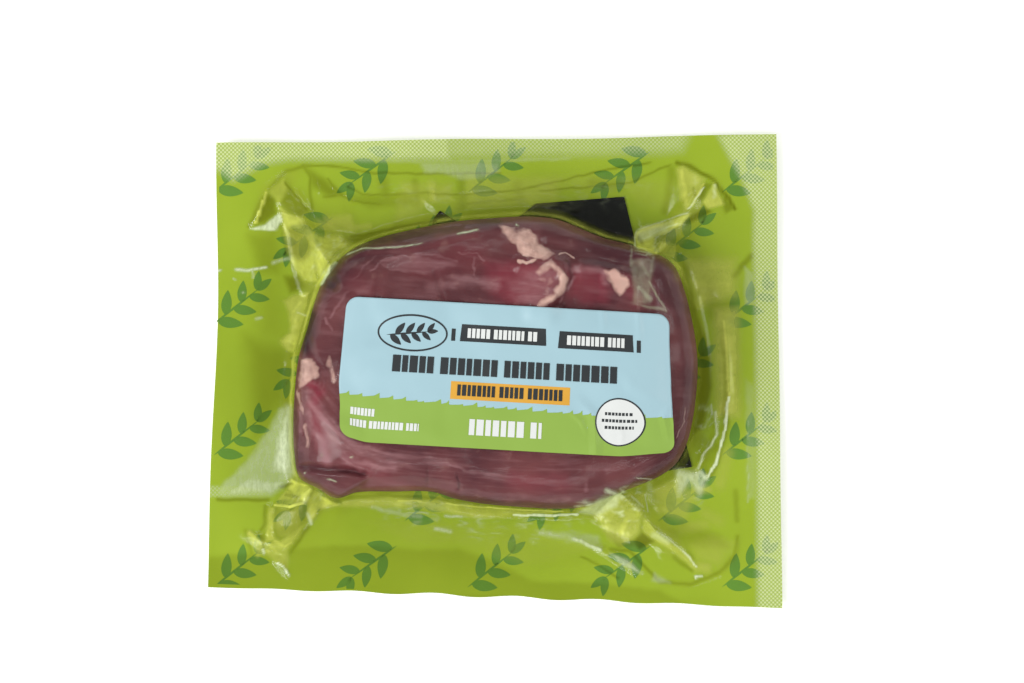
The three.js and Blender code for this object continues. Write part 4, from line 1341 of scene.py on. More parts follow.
    shade: tuple[Stroke | Area, ...] = strokes(
        (0.7, 0.9, -56.2, 50.4, -54.2, 48, -50.4, 43.2), (1.3, 0.8, -55, 46.1),
        (0.8, 0.5, -66, 38.6, -62.4, 45.6, -58.5, 51, -55.8, 53.6, -51, 54.8, -49.6, 52, -49.4, 47,
         -49, 43),
        (1.6, 0.7, -40, 34.7, -36.5, 35.2, -31, 37), (0.9, 0.8, -38.5, 36, -33, 36.8, -25, 38.5, -16, 40.2),
        (0.6, 0.45, -57.4, 43, -56.8, 36, -55.6, 30.6, -53.6, 26.4),
        (0.8, 0.35, -10, 44.6, -2, 45.4, 6, 46),
        (2.6, 0.3, -30, 51, -29, 46), (1.6, 0.3, -21.6, 51, -21, 45), (2.2, 0.3, -9, 51, -9, 44),
        (2.4, 0.25, 6, 50, 7, 45.6), (2.4, 0.28, 26, 50.4, 33, 49.4),
        (2.2, 0.32, 47, 54, 46.8, 48, 45.6, 43),
        (0.8, 0.9, 48.6, 55.8, 52.2, 54.8, 56.5, 52.2, 58.6, 50.9, 62.5, 46, 64, 43.3),
        (0.9, 0.6, 53, 49, 53.4, 47), (0.6, 0.6, 36.8, 38.6, 37, 36.2), (0.7, 0.4, 44, 35.8, 47.5, 37.4),
        (1.3, 0.45, 64, 25.5, 66.5, 28.5, 68.5, 31), (0.8, 0.12, 60.4, 9, 60.2, -8),
        (0.9, 0.2, 64.8, 12, 64.9, -6), (0.9, 0.5, -74.3, -34.4, -60.9, -34.4),
        (0.8, 0.8, -57.4, -31, -54.4, -30.2), (0.9, 0.5, -56, -33, -52, -33.6),
        (0.7, 0.5, -61.6, -36, -61.8, -41, -63, -43.2), (0.8, 0.5, -56, -49, -56.2, -53.4),
        (0.8, 0.7, -62.4, -44, -61.8, -47.6), (0.7, 0.6, -50, -41.6, -52.6, -45.4, -54.6, -48.6),
        (0.8, 0.3, -67, -42.4, -64.6, -50.4, -58, -54.6), (0.6, 0.55, 41.4, -40.2, 44.6, -43.4, 49, -46.4),
        (0.45, 0.55, 23, -49.5, 28, -52, 33, -55.4),
        (0.8, 0.5, 30.8, -47.6, 36.1, -48.2, 40, -52.4, 44.2, -56.4, 52.2, -57, 60.2, -53.7, 64.2, -49.2,
         64.8, -44),
        (0.9, 0.4, 47.6, -49.6, 52.6, -53.4), (1.2, 0.3, 64.6, -40, 64.4, -32),
    ) + strokes(
        (7, 0.55, -79, -61.5, 1, 0, -63, 1, 40, -65, 0.7, 62, -66, 0),
        numbers=3,
    ) + areas(
        (0.7, 0.7, -64.1, 39.2, -61.4, 47.8, -59, 46.2, -58.5, 42.4, -61.4, 39.7),
        (0.55, 0.8, -55.5, 49.9, -50.2, 42.9, -52.3, 41.3, -57.7, 44.6),
        (0.8, 1.5, -56, 38.5, -50, 39.5, -48.6, 33, -51, 29.4, -56, 30.6),
        (0.34, 2.4, -66, 36.5, -58.6, 37.4, -57, 30, -57.6, 25.6, -63, 26),
        (0.65, 1.2, -56.5, 25.5, -52.5, 25.5, -51, 22.4, -55, 20.8),
        (0.22, 4.5, -64, 24, -57.5, 25, -57, 9, -63, 9),
        (0.4, 4, -66.5, 9, -56, 6, -54.8, 3, -54.8, -9, -58, -10.5, -61.5, -15, -64, -17, -65, -10),
        (0.5, 1.4, -50.2, 54.2, -43.7, 49.9, -40.5, 47.2, -44.8, 46.7, -49.1, 49.9),
        (0.3, 1.4, -40, 47, -28, 46.6, -20, 47.4, -22, 44.4, -33, 43.6),
        (0.5, 0.5, 56, 50.5, 57.8, 50, 55, 45.5, 53.6, 46),
        (0.85, 0.6, 55.6, 43.7, 57.9, 42.6, 51.1, 38.9, 50.4, 40.2),
        (0.5, 0.5, 61.3, 47, 63.9, 43.3, 61.6, 42, 60.6, 44.8),
        (0.8, 0.9, 49.5, 27, 51, 25, 53, 19, 55, 13, 57.6, 5, 58, -4, 57, -9, 55.5, -15, 53, -17,
         51.5, -19, 53.6, -8, 54.2, 0, 53, 10, 50.5, 20),
        (0.25, 1.8, 56, 19, 65, 19.5, 65, 14, 57, 14), (0.3, 1.2, 55, -17, 60, -20, 56, -27, 52.8, -24),
        (0.5, 1.2, -57.7, -37.4, -51.3, -35.8, -50.2, -38, -53.4, -43.9, -57.7, -44.4, -59.3, -41.2),
        (0.45, 0.8, 29, -42.6, 36, -44.5, 38.6, -46.5, 33, -47.4),
        (0.8, 0.6, 39.4, -43, 42.5, -45.6, 38.6, -47.8, 36.8, -45.6),
        (0.32, 1.6, 46, -43, 50, -40, 60, -44, 62, -47, 52, -47),
        (0.26, 1, -79, -50, -50, -47, -35, -46.5, -20, -47.8, -10, -47.6, 0, -51, 4, -53, 10, -56.2,
         30, -56.8, 44, -58.6, 60, -66, -79, -62),
    )
    # Painted glints and white streaks of reflection, with the film's milky haze.
    glint_and_haze_marks: tuple[Stroke | Area, ...] = strokes(
        (0.9, 0.22, -52, 56.6, -40, 56.6, -20, 56.2, 0, 56.4, 20, 57),
        (0.7, 0.75, -69.5, 27.2, -66, 27, -61.4, 27.8), (0.9, 0.35, -59.3, 29, -55.5, 30.1),
        (0.4, 0.8, -64.9, 26.6, -64.8, 25), (0.6, 0.6, -75, 26.6, -73.6, 27),
        (0.4, 0.5, -70, 24.8, -69.3, 24.4), (0.6, 0.4, -67.5, 21), (0.7, 0.35, -64, 14, -62.6, 14.2),
        (0.3, 0.5, -53, 15.6, -50.4, 15), (0.8, 0.6, -50, -38, -49.3, -40.8),
        (0.5, 0.8, -62.1, -47.8, -61.9, -48.8), (0.9, 0.3, -33, -36.5, -24, -38.5, -20, -39),
        (0.4, 0.45, -24, -38, -18, -38), (0.9, 0.5, -16, -42.3, -12, -42.8),
        (0.6, 0.5, -13.5, -38.8, -9, -39), (1.2, 0.4, 12, -43.2, 17, -44),
        (0.9, 0.75, 21, -44.7, 24, -46, 28, -47.8), (0.4, 0.45, 43.2, -42.8, 47.4, -45.6, 50.6, -48.6),
        (1.4, 0.3, 42.4, -43.6, 46, -45.4), (0.35, 0.6, 36.4, -33.4, 39.6, -36.2),
        (0.35, 0.5, 40.2, -33, 40.8, -37.6), (1.2, 0.5, 29.6, -31.6, 33.6, -33.4),
        (0.35, 0.45, 38, 38, 42.5, 39.4, 47.5, 41, 51.6, 42.4),
        (0.35, 0.5, 38, 37.6, 37.4, 35.6, 37.2, 33.4), (0.35, 0.4, 43, 36.6, 42.6, 34),
        (0.5, 0.5, 48.8, -26.4, 49, -32.6), (1.3, 0.8, 54.9, -27.3, 56.4, -28.6),
        (0.4, 0.7, 57.9, -9, 58, -11.5), (0.5, 0.7, 59, -11, 59.3, -17, 58, -19.6, 55.5, -22.6, 54.2, -26),
        (0.35, 0.3, 67.8, -12, 67.6, -35), (0.7, 0.3, 75.3, 62, 75.9, -62),
        (0.7, 0.4, 58.5, 49.6, 58.7, 46.6),
    ) + strokes(
        (0.3, 1, -58.2, -51.1, -56.6, -52.6, -55, -54.6), (0.4, 0.85, 5, -38.5, 14, -38.6, 22, -38.2),
        (0.3, 0.6, 50.2, -48.2, 53.8, -52), (0.3, 0.5, 39.4, 35.4, 44, 37.6, 48.6, 39.4),
        (0.25, 0.6, 55.9, 49.2, 54, 46.4, 51.6, 43.6),
        (0.45, 0.9, 62.4, -7, 61.5, -15, 60.3, -20, 58.9, -25, 57, -28),
        (0.35, 0.9, 53.4, -55.2, 55.2, -54.9),
        profile=Profile.PATCH,
    ) + areas(
        (0.8, 0.4, -65.7, 38.1, -61.4, 39.2, -57.7, 42.4, -57.2, 40.3, -58.8, 37.6),
        (0.26, 0.8, -20, 55.8, 1, 56, 1, 53.4, -4, 51.6, -9, 51.5, -14, 53, -19, 53.2),
        (0.36, 1, -54.7, -9, -54.4, -28.3, -57.7, -30.5, -60.9, -33.2, -74.3, -33.2, -74.3, -31.6,
         -69.5, -27.3, -65.2, -22.4, -60.9, -16, -57.7, -10.1),
        (0.85, 2.4, -55.4, -10, -54.8, -27, -60, -27, -58.6, -18),
        (0.6, 1.4, -73, -33, -60, -33, -56, -29.6, -66, -28.5),
        (0.45, 0.8, 28, -33.6, 33.6, -32.4, 32.5, -36, 27, -38.5, 22, -37.6),
        (0.5, 1, 48.4, -26.2, 54.9, -27.3, 56.5, -29.4, 54.9, -33.6, 52.2, -29.4, 49, -33.6),
        (0.42, 0.9, 38, 37, 46, 39.6, 46, 37.4, 38.5, 34.6),
        (0.26, 0.9, 11, -42.6, 27.5, -44, 28.5, -46.6, 14, -44.4),
        (0.55, 0.7, 30.8, -48.7, 35, -50, 39.3, -54, 34, -52), (0.35, 0.8, 42.5, -54, 46.8, -56.6, 42, -56),
        (0.26, 0.6, 66.8, 28, 69.2, 26, 69.4, 18, 66.8, 18),
        (0.14, 0.8, 67, -2, 69.6, -4, 70, -34, 67.4, -34),
    )
    # Crinkled film: its fine creases are bumped, and painted glint threads lie in it.
    crinkled: tuple[Area, ...] = areas(
        (0.5, 1, 37, 38, 50, 41.4, 52, 38, 44, 33.4, 43, 28, 37, 30),
        (0.45, 1.4, -50.5, 30, -47.4, 36.6, -41.6, 36.6, -38, 33, -44, 26, -48, 23),
        (0.34, 1.8, -56, -29, -50, -28.6, -45.5, -32.6, -41.6, -35.6, -47, -38, -50, -41, -52, -36,
         -56, -32),
        (0.6, 1.4, 19, -36, 30.8, -31.4, 41.4, -29, 43, -35, 39, -41, 30, -39, 26, -40),
        (0.36, 1.6, 54.5, -9, 60, -9, 60.5, -19, 56, -21, 54, -15),
        (0.36, 1.4, 48, -26, 56, -26.6, 57, -30, 55, -36, 48.6, -35),
        (0.3, 2, -30, -34.6, -18, -34.6, 10, -38, 24, -38, 22, -46, -6, -44.6, -17, -43, -30, -39.6),
        (0.1, 2.5, -42, 50, -20, 50.5, 10, 50, 40, 53, 44, 44, 10, 43.4, -20, 43),
    )
    glints: tuple[Stroke | Area, ...] = strokes(
        (0.9, 0.7, -42.4, 28.6, -44, 26.9, -46.1, 23.3), (0.55, 0.6, -9.8, 36.4, -6.8, 37.1, -4.6, 37.4),
        (1.3, 0.35, 37.9, 22.2, 40.7, 19.2), (1.1, 0.3, 38.6, 28.6, 40.4, 25.7),
        (0.3, 0.26, 36.2, 33.6, 35.8, 27.7), (0.3, 0.24, 41.9, 30.6, 41.2, 26.7),
        (0.32, 0.4, 40.7, 23.7, 42.8, 19.8, 45.3, 15.9), (0.3, 0.45, -44.1, -28.4, -41.9, -29),
        (0.4, 0.7, -50.3, -26.9), (0.4, 0.7, -45.6, -22), (0.4, 0.7, -37.8, -22.5),
        (0.7, 0.5, 30.5, -31.8, 32.5, -33.8), (0.3, 0.4, 37.4, -28, 41.4, -28.8),
        (0.4, 0.7, 5.6, 38.9, 6, 38.4),
    ) + strokes(
        (0.28, 0.45, -39.2, 31, -35.3, 32.5, -29.4, 32.8, -23.5, 33.1, -19.4, 33.9),
        profile=Profile.PATCH,
    ) + areas(
        (0.16, 0.6, 35.8, 29.6, 42.3, 30, 41.2, 23.7, 40.6, 18.2, 36.6, 17.8, 36.3, 23.7),
        (0.22, 0.4, 35.9, 18.1, 39.4, 17.1, 44.8, 15.8, 44.7, 16.8),
    )
    sealed: tuple[Area, ...] = areas(
        (0.95, 1.6, -79, 64, -12, 65, -12, 56.7, -52, 56.6, -55, 56.6, -62, 55.4, -67, 52.6, -70, 51,
         -78, 56.5),
        (0.66, 2.2, -14, 68, 54, 68, 50, 59, 44, 58.4, 0, 57.4, -14, 57),
        (0.88, 1.2, 80, 66, 80, -66, 70.2, -66, 70, -28, 69.6, 10, 69, 35, 69.2, 43, 66, 51, 59.5, 63),
        (0.5, 0.5, -77, -30.6, -68, -30.8, -61, -32.2, -61, -33.4, -77, -33.6),
    )
    crease_lines: tuple[float, ...] = (0.55, 0.6, 0.6, 0.55, 0.55, 0.55)
    crease_line_width: float = 0.5
    lime_light_fade: tuple[float, float] = (6.0, 11.0)
    most_lime_light: float = 0.92
    rim_light_line: tuple[float, float] = (0.7, 1.5)
    rim_light_band: tuple[float, float] = (-0.8, 2.0)
    level_threads: tuple[float, float] = (-36.0, 40.0)
    corner_spots: Spots = ((-44.5, 31, 7), (41, 33, 6), (32, -35, 8), (-47, -33, 6.5))
    finish: FilmFinish = FilmFinish()

    def pocket(self, x: Array, y: Array) -> Array:
        """How far each point is inside the drawn pocket's rounded outline, in millimetres."""
        half_x = (self.pocket_right - self.pocket_left) / 2
        half_y = (self.pocket_top - self.pocket_bottom) / 2
        dx = np.abs(x - (self.pocket_left + self.pocket_right) / 2) - half_x + self.pocket_corner
        dy = np.abs(y - (self.pocket_top + self.pocket_bottom) / 2) - half_y + self.pocket_corner
        outside = np.hypot(np.maximum(dx, 0), np.maximum(dy, 0)) + np.minimum(np.maximum(dx, dy), 0)
        return self.pocket_corner - outside

    def crumple(self, x: Array, y: Array) -> Array:
        """How crumpled the film is: most at the steak's corners."""
        spots = [np.exp(-(np.hypot(x - cx, y - cy) / size) ** 2) for cx, cy, size in self.corner_spots]
        return np.clip(np.sum(spots, axis=0), 0, 1)

    def wrinkles(self, x: Array, y: Array) -> Array:
        """Small creases of the slack film, in millimetres."""
        bent_x = x + 1.2 * Noise(31, 7.0).at(x, y)
        bent_y = y + 1.2 * Noise(32, 7.0).at(x, y)
        middle = Noise(34, 3.4).creased(bent_x, bent_y)
        fine = Noise(35, 1.7).creased(bent_x, bent_y)
        broad = Noise(33, 15.0, 1.6).at(x, y)
        lines = Noise(36, 3.0, 6.0, 0.05).creased(bent_x, bent_y)
        crumple = self.crumple(x, y)
        return crumple * (0.22 * middle + 0.1 * fine) + (1.0 - crumple) * (0.3 * broad + 0.1 * lines)

    def patches(self, x: Array, y: Array) -> Array:
        """Where the film stands off the backing, from 0 to 1."""
        broad = Noise(41, 17.0, 1.5).at(x, y) + 0.5 * Noise(42, 7.0).at(x, y)
        rim = smooth(self.pocket(x, y), 0.0, 9.0)
        return rim * np.clip(smooth(broad, -0.15, 0.35) + self.crumple(x, y), 0, 1)

    def stretched(self, x: Array, y: Array) -> tuple[Array, Array]:
        """The tents' height and share at each point."""
        results = [tent.at(x, y) for tent in self.tents]
        return np.max([r[0] for r in results], axis=0), np.max([r[1] for r in results], axis=0)

    def surface(self, x: Array, y: Array) -> tuple[Array, Array]:
        """The film's height and how far it stands off what lies under it."""
        angle, radius = self.shape.polar(x, y)
        steak = self.shape.steak_outline.reach(angle) + self.shape.cling
        share = radius / steak
        outside = np.maximum(radius - steak, 0.0)
        floor = self.shape.floor(x, y) + self.shape.bond
        tents = self.stretched(x, y)[0]
        folds = strongest(self.folds, x, y)
        creases = strongest(self.creases, x, y)
        wrinkles = self.wrinkles(x, y)
        slack = self.patches(x, y) * (0.4 + wrinkles)
        drape = self.shape.waist * np.exp(-((outside / self.shape.drape_run) ** 1.2))
        over_pad = self.pad.cover(x, y)
        hung = np.maximum(np.maximum(tents, drape), over_pad)
        outer = floor + hung + folds + creases + slack
        top = self.steak.top(angle, np.clip(share, 0, 1), x, y) + self.shape.cling
        raised = floor + tents + folds
        inner = np.maximum(top, raised) + 0.12 * wrinkles * smooth(share, 0.9, 0.6) + 0.45 * creases
        join = smooth(share, 0.94, 1.0)
        inner = inner + join * (folds * (top > raised) + 0.55 * creases + slack)
        height = np.where(share < 1.0, inner, outer)
        off = np.where(share < 1.0, 0.0, smooth(height - floor - over_pad, 0.1, 1.2))
        return height, off

    def painted_rim_light(self, x: Array, y: Array) -> Array:
        """Painted lime light on the wall that the film makes round the steak, where light catches it:
        strongest along its upper side and brighter at its left.
        """
        angle = self.shape.polar(x, y)[0]
        outside = self.shape.outside(x, y)
        upper = smooth(np.sin(angle), 0.15, 0.6)
        left = smooth(-np.cos(angle), 0.7, 0.95)
        lower = smooth(-np.sin(angle), 0.4, 0.9)
        line, broad = (
            smooth(1.0 - np.abs(outside - middle) / reach, 0.0, 1.0)
            for middle, reach in (self.rim_light_line, self.rim_light_band)
        )
        uneven = 0.75 + 0.5 * Noise(83, 9.0).at(x, y)
        return uneven * ((0.3 + 0.4 * upper + 0.45 * left) * line + (0.12 * upper + 0.08 * lower) * broad)

    def shades(self) -> tuple[Stroke | Area, ...]:
        """The shaded marks, with a thin line along each of the first creases."""
        lines = tuple(
            Stroke(tuple(spot[:2] for spot in crease.points), self.crease_line_width, level)
            for crease, level in zip(self.creases, self.crease_lines)
        )
        return self.shade + lines

    def threads(self, x: Array, y: Array, bent_x: Array, bent_y: Array) -> Array:
        """Fine broken threads of painted glint on crinkled film, level in the middle and steep at its two
        ends.
        """
        level = Noise(85, 1.4, 5.0, -0.03).creased(bent_x, bent_y)
        steep = Noise(86, 1.3, 3.5, 1.15).creased(bent_x, bent_y)
        middle = (x > self.level_threads[0]) & (x < self.level_threads[1])
        found = np.where(middle, level, np.maximum(0.6 * level, steep))
        return smooth(Noise(87, 3.0).at(x, y), -0.3, 0.5) * found ** 3

    def dress(self, piece: Piece) -> None:
        """Stores the masks that the finish reads."""
        spots = vertices(piece.data)
        x, y = spots[:, 0], spots[:, 1]
        bent_x = x + 0.25 * Noise(81, 2.8).at(x, y)
        bent_y = y + 0.25 * Noise(82, 2.8).at(x, y)
        outside = self.shape.outside(x, y)
        beyond = smooth(outside, -0.5, 0.6)
        height, slack = self.surface(x, y)
        tent_share = self.stretched(x, y)[1]
        high = smooth(height - self.shape.floor(x, y), *self.lime_light_fade)
        high = high * (1.0 - smooth(tent_share, 0.0, 0.15))
        # Painted lime light from the marks, the tents, the wall round the steak and all slack film, less
        # where the film stands high.
        painted_lime_light = np.maximum(strongest(self.painted_lime_light, bent_x, bent_y), 0.2 * smooth(tent_share, 0.0, 0.35))
        painted_lime_light = np.maximum(smooth(outside, -2.0, 0.3) * painted_lime_light, self.painted_rim_light(x, y))
        painted_lime_light = np.maximum(painted_lime_light * (1.0 - 0.8 * high), 0.08 * slack)
        # Painted shade: the marks, and a little more at random on slack film.
        uneven = 0.18 * slack * smooth(Noise(84, 8.0, 0.5).at(x, y), 0.0, 0.5)
        shade = np.maximum(strongest(self.shades(), bent_x, bent_y), uneven)
        crinkled = strongest(self.crinkled, x, y)
        # Painted glints and milky haze, with painted glint threads on crinkled film.
        glint_and_haze_marks = strongest(self.glint_and_haze_marks + self.glints, bent_x, bent_y)
        glint_and_haze_marks = np.maximum(glint_and_haze_marks, crinkled * self.threads(x, y, bent_x, bent_y))
        crease = 0.15 * (1.0 - beyond) + 0.35 * self.crumple(x, y) + 0.06 * slack + 0.5 * crinkled
        masks = {
            "slack": slack,
            "painted_lime_light": np.clip(painted_lime_light, 0, self.most_lime_light),
            "shade": np.clip(beyond * shade, 0, 1),
            "haze_and_glints": np.clip(glint_and_haze_marks, 0, 1),
            "seal": strongest(self.sealed, x, y),
            "touch": 1.0 - beyond,
            "crease": np.clip(crease, 0, 1),
        }
        for name, values in masks.items():
            add_mask(piece, name, values)

    def sheet(self, name: str, inner: bool) -> Piece:
        """One part of the film: the part over the steak, or the part round it."""
        rings = RingGrid(self.shape, self.rings)

        def keep(u: float, v: float) -> bool:
            """Whether a face about (u, v) belongs to this part."""
            return (max(abs(u), abs(v)) < self.rings) == inner

        def place(u: Array, v: Array) -> Array:
            """Lays the grid over the steak and out to the pack's edge."""
            x, y = rings.place(u, v, self.shape.cling)
            return stacked(x, y, self.surface(x, y)[0])

        piece = grid_piece(name, self.cells, self.cells, place, keep)
        self.dress(piece)
        return piece

    def build(self) -> None:
        """Makes the film as two fine sheets that meet at the steak's outline."""
        material = self.finish.build()
        finish_piece(self.sheet("film_over_steak", True), material, "clear_film", "clear_film")
        finish_piece(self.sheet("film_round_steak", False), material, "clear_film")


@dataclass(frozen=True)
class Row:
    """A row of plain blocks that stands where print would be: where it starts, and how large it is."""

    u: float
    v: float
    length: float
    height: float
    seed: int
    block: float = 0.42
    gap: float = 0.12

    def blocks(self) -> list[tuple[float, float]]:
        """Where each block starts and how long it is, in groups with wider gaps between them."""
        draw = np.random.default_rng(self.seed)
        found, u, left = [], 0.0, int(draw.integers(3, 9))
        while u < self.length:
            size = min(self.height * self.block * draw.uniform(0.75, 1.15), self.length - u)
            if size > 0.3 * self.height * self.block:
                found.append((self.u + u, size))
            left -= 1
            u += size + self.height * (self.gap if left else 0.42)
            left = left or int(draw.integers(4, 10))
        return found


@dataclass(frozen=True)
class Label:
    """The label on top of the film, with its printed fields as thin pieces on it."""

    shape: PackShape
    film: ClearFilm
    length: float = 88.9
    width: float = 38.1
    centre: tuple[float, float] = (2.4, -1.5)
    turn: float = math.radians(-3.2)
    corner: float = 3.2
    above_film: float = 0.2
    drawn_in: float = 0.027
    narrower_up: float = 0.0009
    curled: tuple[Stroke, ...] = (
        Stroke(((-44.4, -19, 1), (-44.4, -12, 0.6)), 10, 1.7),
        Stroke(((44.4, -19, 1), (44.4, -12, 0.8), (44.4, 0, 0.4), (44.4, 12, 0.1)), 14, 2.1),
    )
    thickness: float = 0.12
    print_step: float = 0.03
    cell: float = 0.5
    edge_left: float = -6.8
    edge_right: float = -8.9
    edge_sag: float = 0.5
    creases: tuple[Stroke, ...] = (
        Stroke(((21.5, -6.5, 0.2), (26, -11.6, 1), (26.4, -16, 1), (26.6, -21.2, 1)), 2.0, 0.4, Profile.TENT),
        Stroke(((28.3, 16, 1), (28.6, 12.7, 0.8), (28.3, 9.2, 0)), 1.3, 0.3, Profile.TENT),
        Stroke(((37.7, 15.6, 1), (38.1, 10.8, 0.8), (37.7, 5, 0)), 1.4, 0.35, Profile.TENT),
        Stroke(((33, 2, 0), (36, -4, 0.8), (44, -8, 0.3)), 2.5, 0.25),
        Stroke(((46.6, -8, 0.4), (44.4, -12, 1), (45.6, -17, 0.4)), 1.6, 0.35, Profile.TENT),
        Stroke(((-41, 1, 0.2), (-34, 6, 1), (-25, 6.5, 0.2)), 3.0, 0.2),
        Stroke(((18, -9, 0.3), (22.6, -13, 1), (24, -16, 0.4)), 1.0, 0.2),
        Stroke(((32, -12, 0.3), (33.5, -17, 0.8), (33, -20, 0.2)), 1.2, 0.2),
    )
    dark_rows: tuple[Row, ...] = (
        Row(-30.4, 0.0, 61.0, 4.4, 1, 0.44, 0.10),
        Row(-12.4, -5.4, 28.6, 2.9, 2, 0.36, 0.13),
        Row(27.6, -8.4, 7.4, 0.8, 3, 0.9, 0.3),
        Row(26.8, -10.2, 9.0, 0.8, 4, 0.9, 0.3),
        Row(27.6, -12.0, 7.4, 0.8, 5, 0.9, 0.3),
    )
    pale_rows: tuple[Row, ...] = (
        Row(-10.6, 9.9, 19.4, 2.5, 6, 0.4, 0.13),
        Row(16.6, 9.5, 16.0, 2.5, 7, 0.4, 0.13),
        Row(-41.4, -12.2, 7.6, 2.0, 8, 0.42, 0.12),
        Row(-41.4, -15.4, 19.4, 2.0, 9, 0.42, 0.12),
        Row(-8.6, -15.6, 19.4, 4.2, 10, 0.42, 0.12),
    )

    ribbons: Spots = (
        (-12.6, 8.9, 23.6, 4.5, 0.3),
        (14.2, 8.5, 20.6, 4.5, 0.3),
        (35.6, 8.5, 1.1, 3.2),
        (-15.0, 8.9, 1.1, 3.2),
    )
    banner: tuple[float, ...] = (-14.2, -6.4, 32.2, 4.7)
    badge: tuple[float, float] = (-25.6, 10.4)
    badge_ring: tuple[float, float] = (9.6, 4.9)
    badge_face: tuple[float, float] = (9.1, 4.4)
    badge_sprig: tuple[float, ...] = (0.12, 14.5, 4.2)
    badge_leaves: int = 8
    seal: tuple[float, float] = (31.4, -10.1)
    seal_ring: tuple[float, float] = (6.4, 6.4)
    seal_face: tuple[float, float] = (6.0, 6.0)
    paper_faces: tuple[int, int] = (180, 78)
    blue: PrintedFinish = PrintedFinish(
        "label_blue", (0.335, 0.50, 0.555), (0.32, 0.485, 0.54), 0.4, 0.15, 40.0, 3000.0, 0.006,
    )
    green: PrintedFinish = PrintedFinish(
        "label_green", (0.250, 0.39, 0.066), (0.236, 0.372, 0.059), 0.4, 0.15, 40.0, 3000.0, 0.006,
    )
    dark: PrintedFinish = PrintedFinish("label_dark", srgb(48, 52, 54), srgb(42, 46, 48), 0.4, 0.15)
    amber: PrintedFinish = PrintedFinish("label_amber", (0.64, 0.34, 0.045), (0.62, 0.32, 0.04), 0.4, 0.15)
    white: PrintedFinish = PrintedFinish("label_white", (0.66, 0.68, 0.66), (0.64, 0.66, 0.64), 0.4, 0.15)

    def bed(self) -> Place:
        """Works out the smooth surface that the label lies on: the film's highest points nearby.

        Returns:
            Gives the height for places along and up the label in millimetres.
        """
        columns, lines = round(self.length / self.cell) + 1, round(self.width / self.cell) + 1
        us = np.linspace(-self.length / 2, self.length / 2, columns)
        vs = np.linspace(-self.width / 2, self.width / 2, lines)
        u, v = np.meshgrid(us, vs, indexing="ij")
        x, y = self.flat(u, v)
        height = self.film.surface(x, y)[0]
        reach = 5
        for axis in (0, 1):
            edge = np.pad(height, [(reach, reach) if k == axis else (0, 0) for k in (0, 1)], "edge")
            count = height.shape[axis]
            shifted = [np.take(edge, range(k, k + count), axis) for k in range(2 * reach + 1)]
            height = np.max(shifted, axis=0)
        for axis in (0, 1, 0, 1):
            edge = np.pad(height, [(2, 2) if k == axis else (0, 0) for k in (0, 1)], "edge")
            count = height.shape[axis]
            height = np.mean([np.take(edge, range(k, k + count), axis) for k in range(5)], axis=0)

        def at(u: Array, v: Array) -> Array:
            """The height between the nearest four of the grid's points."""
            a = np.clip((u + self.length / 2) / self.length * (columns - 1), 0, columns - 1.001)
            b = np.clip((v + self.width / 2) / self.width * (lines - 1), 0, lines - 1.001)
            i, j = a.astype(int), b.astype(int)
            fa, fb = a - i, b - j
            low = height[i, j] * (1 - fa) + height[i + 1, j] * fa
            high = height[i, j + 1] * (1 - fa) + height[i + 1, j + 1] * fa
            return low * (1 - fb) + high * fb

        return at

    def flat(self, u: Array, v: Array) -> tuple[Array, Array]:
        """Where a place along and up the label lies in plan."""
        curl = strongest(self.curled, u, v)
        u = u * (1.0 - self.drawn_in - self.narrower_up * v) + curl
        v = v * (1.0 - 0.04 * curl)
        x = self.centre[0] + u * math.cos(self.turn) - v * math.sin(self.turn)
        y = self.centre[1] + u * math.sin(self.turn) + v * math.cos(self.turn)
        return x, y

    def rounded(self, u: Array, v: Array) -> tuple[Array, Array]:
        """Draws the label's corners in to their radius."""
        dx = np.maximum(np.abs(u) - self.length / 2 + self.corner, 0)
        dy = np.maximum(np.abs(v) - self.width / 2 + self.corner, 0)
        pull = np.maximum(dx, dy) / np.maximum(np.hypot(dx, dy), TINY)
        corner = (dx > 0) & (dy > 0)
        return (
            np.where(corner, np.sign(u) * (np.abs(u) - dx + dx * pull), u),
            np.where(corner, np.sign(v) * (np.abs(v) - dy + dy * pull), v),
        )

    def lay(self, piece: Piece, bed: Place, layer: float) -> None:
        """Takes a flat piece, drawn along and up the label, onto the label's surface."""
        spots = vertices(piece.data)
        u, v = self.rounded(spots[:, 0], spots[:, 1])
        x, y = self.flat(u, v)
        creases = sum(stroke.at(x, y) for stroke in self.creases) + 0.12 * Noise(63, 7.0).at(x, y)
        height = bed(u, v) + self.above_film + creases + layer * self.print_step
        move_vertices(piece.data, stacked(x, y, height))

    def block(self, bm: BMesh, u: float, v: float, length: float, height: float, slant: float = 0.0) -> None:
        """Adds a flat bar with its lower left corner at (u, v), its top shifted inwards by slant."""
        columns, lines = max(1, round(length / 0.6)), max(1, round(height / 0.6))
        for vertex in bmesh.ops.create_grid(bm, x_segments=columns, y_segments=lines, size=1.0)["verts"]:
            share, rise = (vertex.co.x + 1) / 2, (vertex.co.y + 1) / 2
            vertex.co.x = (u + slant * rise + share * (length - 2 * slant * rise)) * MM
            vertex.co.y = (v + rise * height) * MM

    def disc(self, bm: BMesh, u: float, v: float, radius_u: float, radius_v: float) -> None:
        """Adds a flat oval about (u, v)."""
        for vertex in bmesh.ops.create_grid(bm, x_segments=24, y_segments=24, size=1.0)["verts"]:
            a, b = vertex.co.x, vertex.co.y
            pull = max(abs(a), abs(b)) / max(math.hypot(a, b), TINY)
            vertex.co.x = (u + radius_u * a * pull) * MM
            vertex.co.y = (v + radius_v * b * pull) * MM

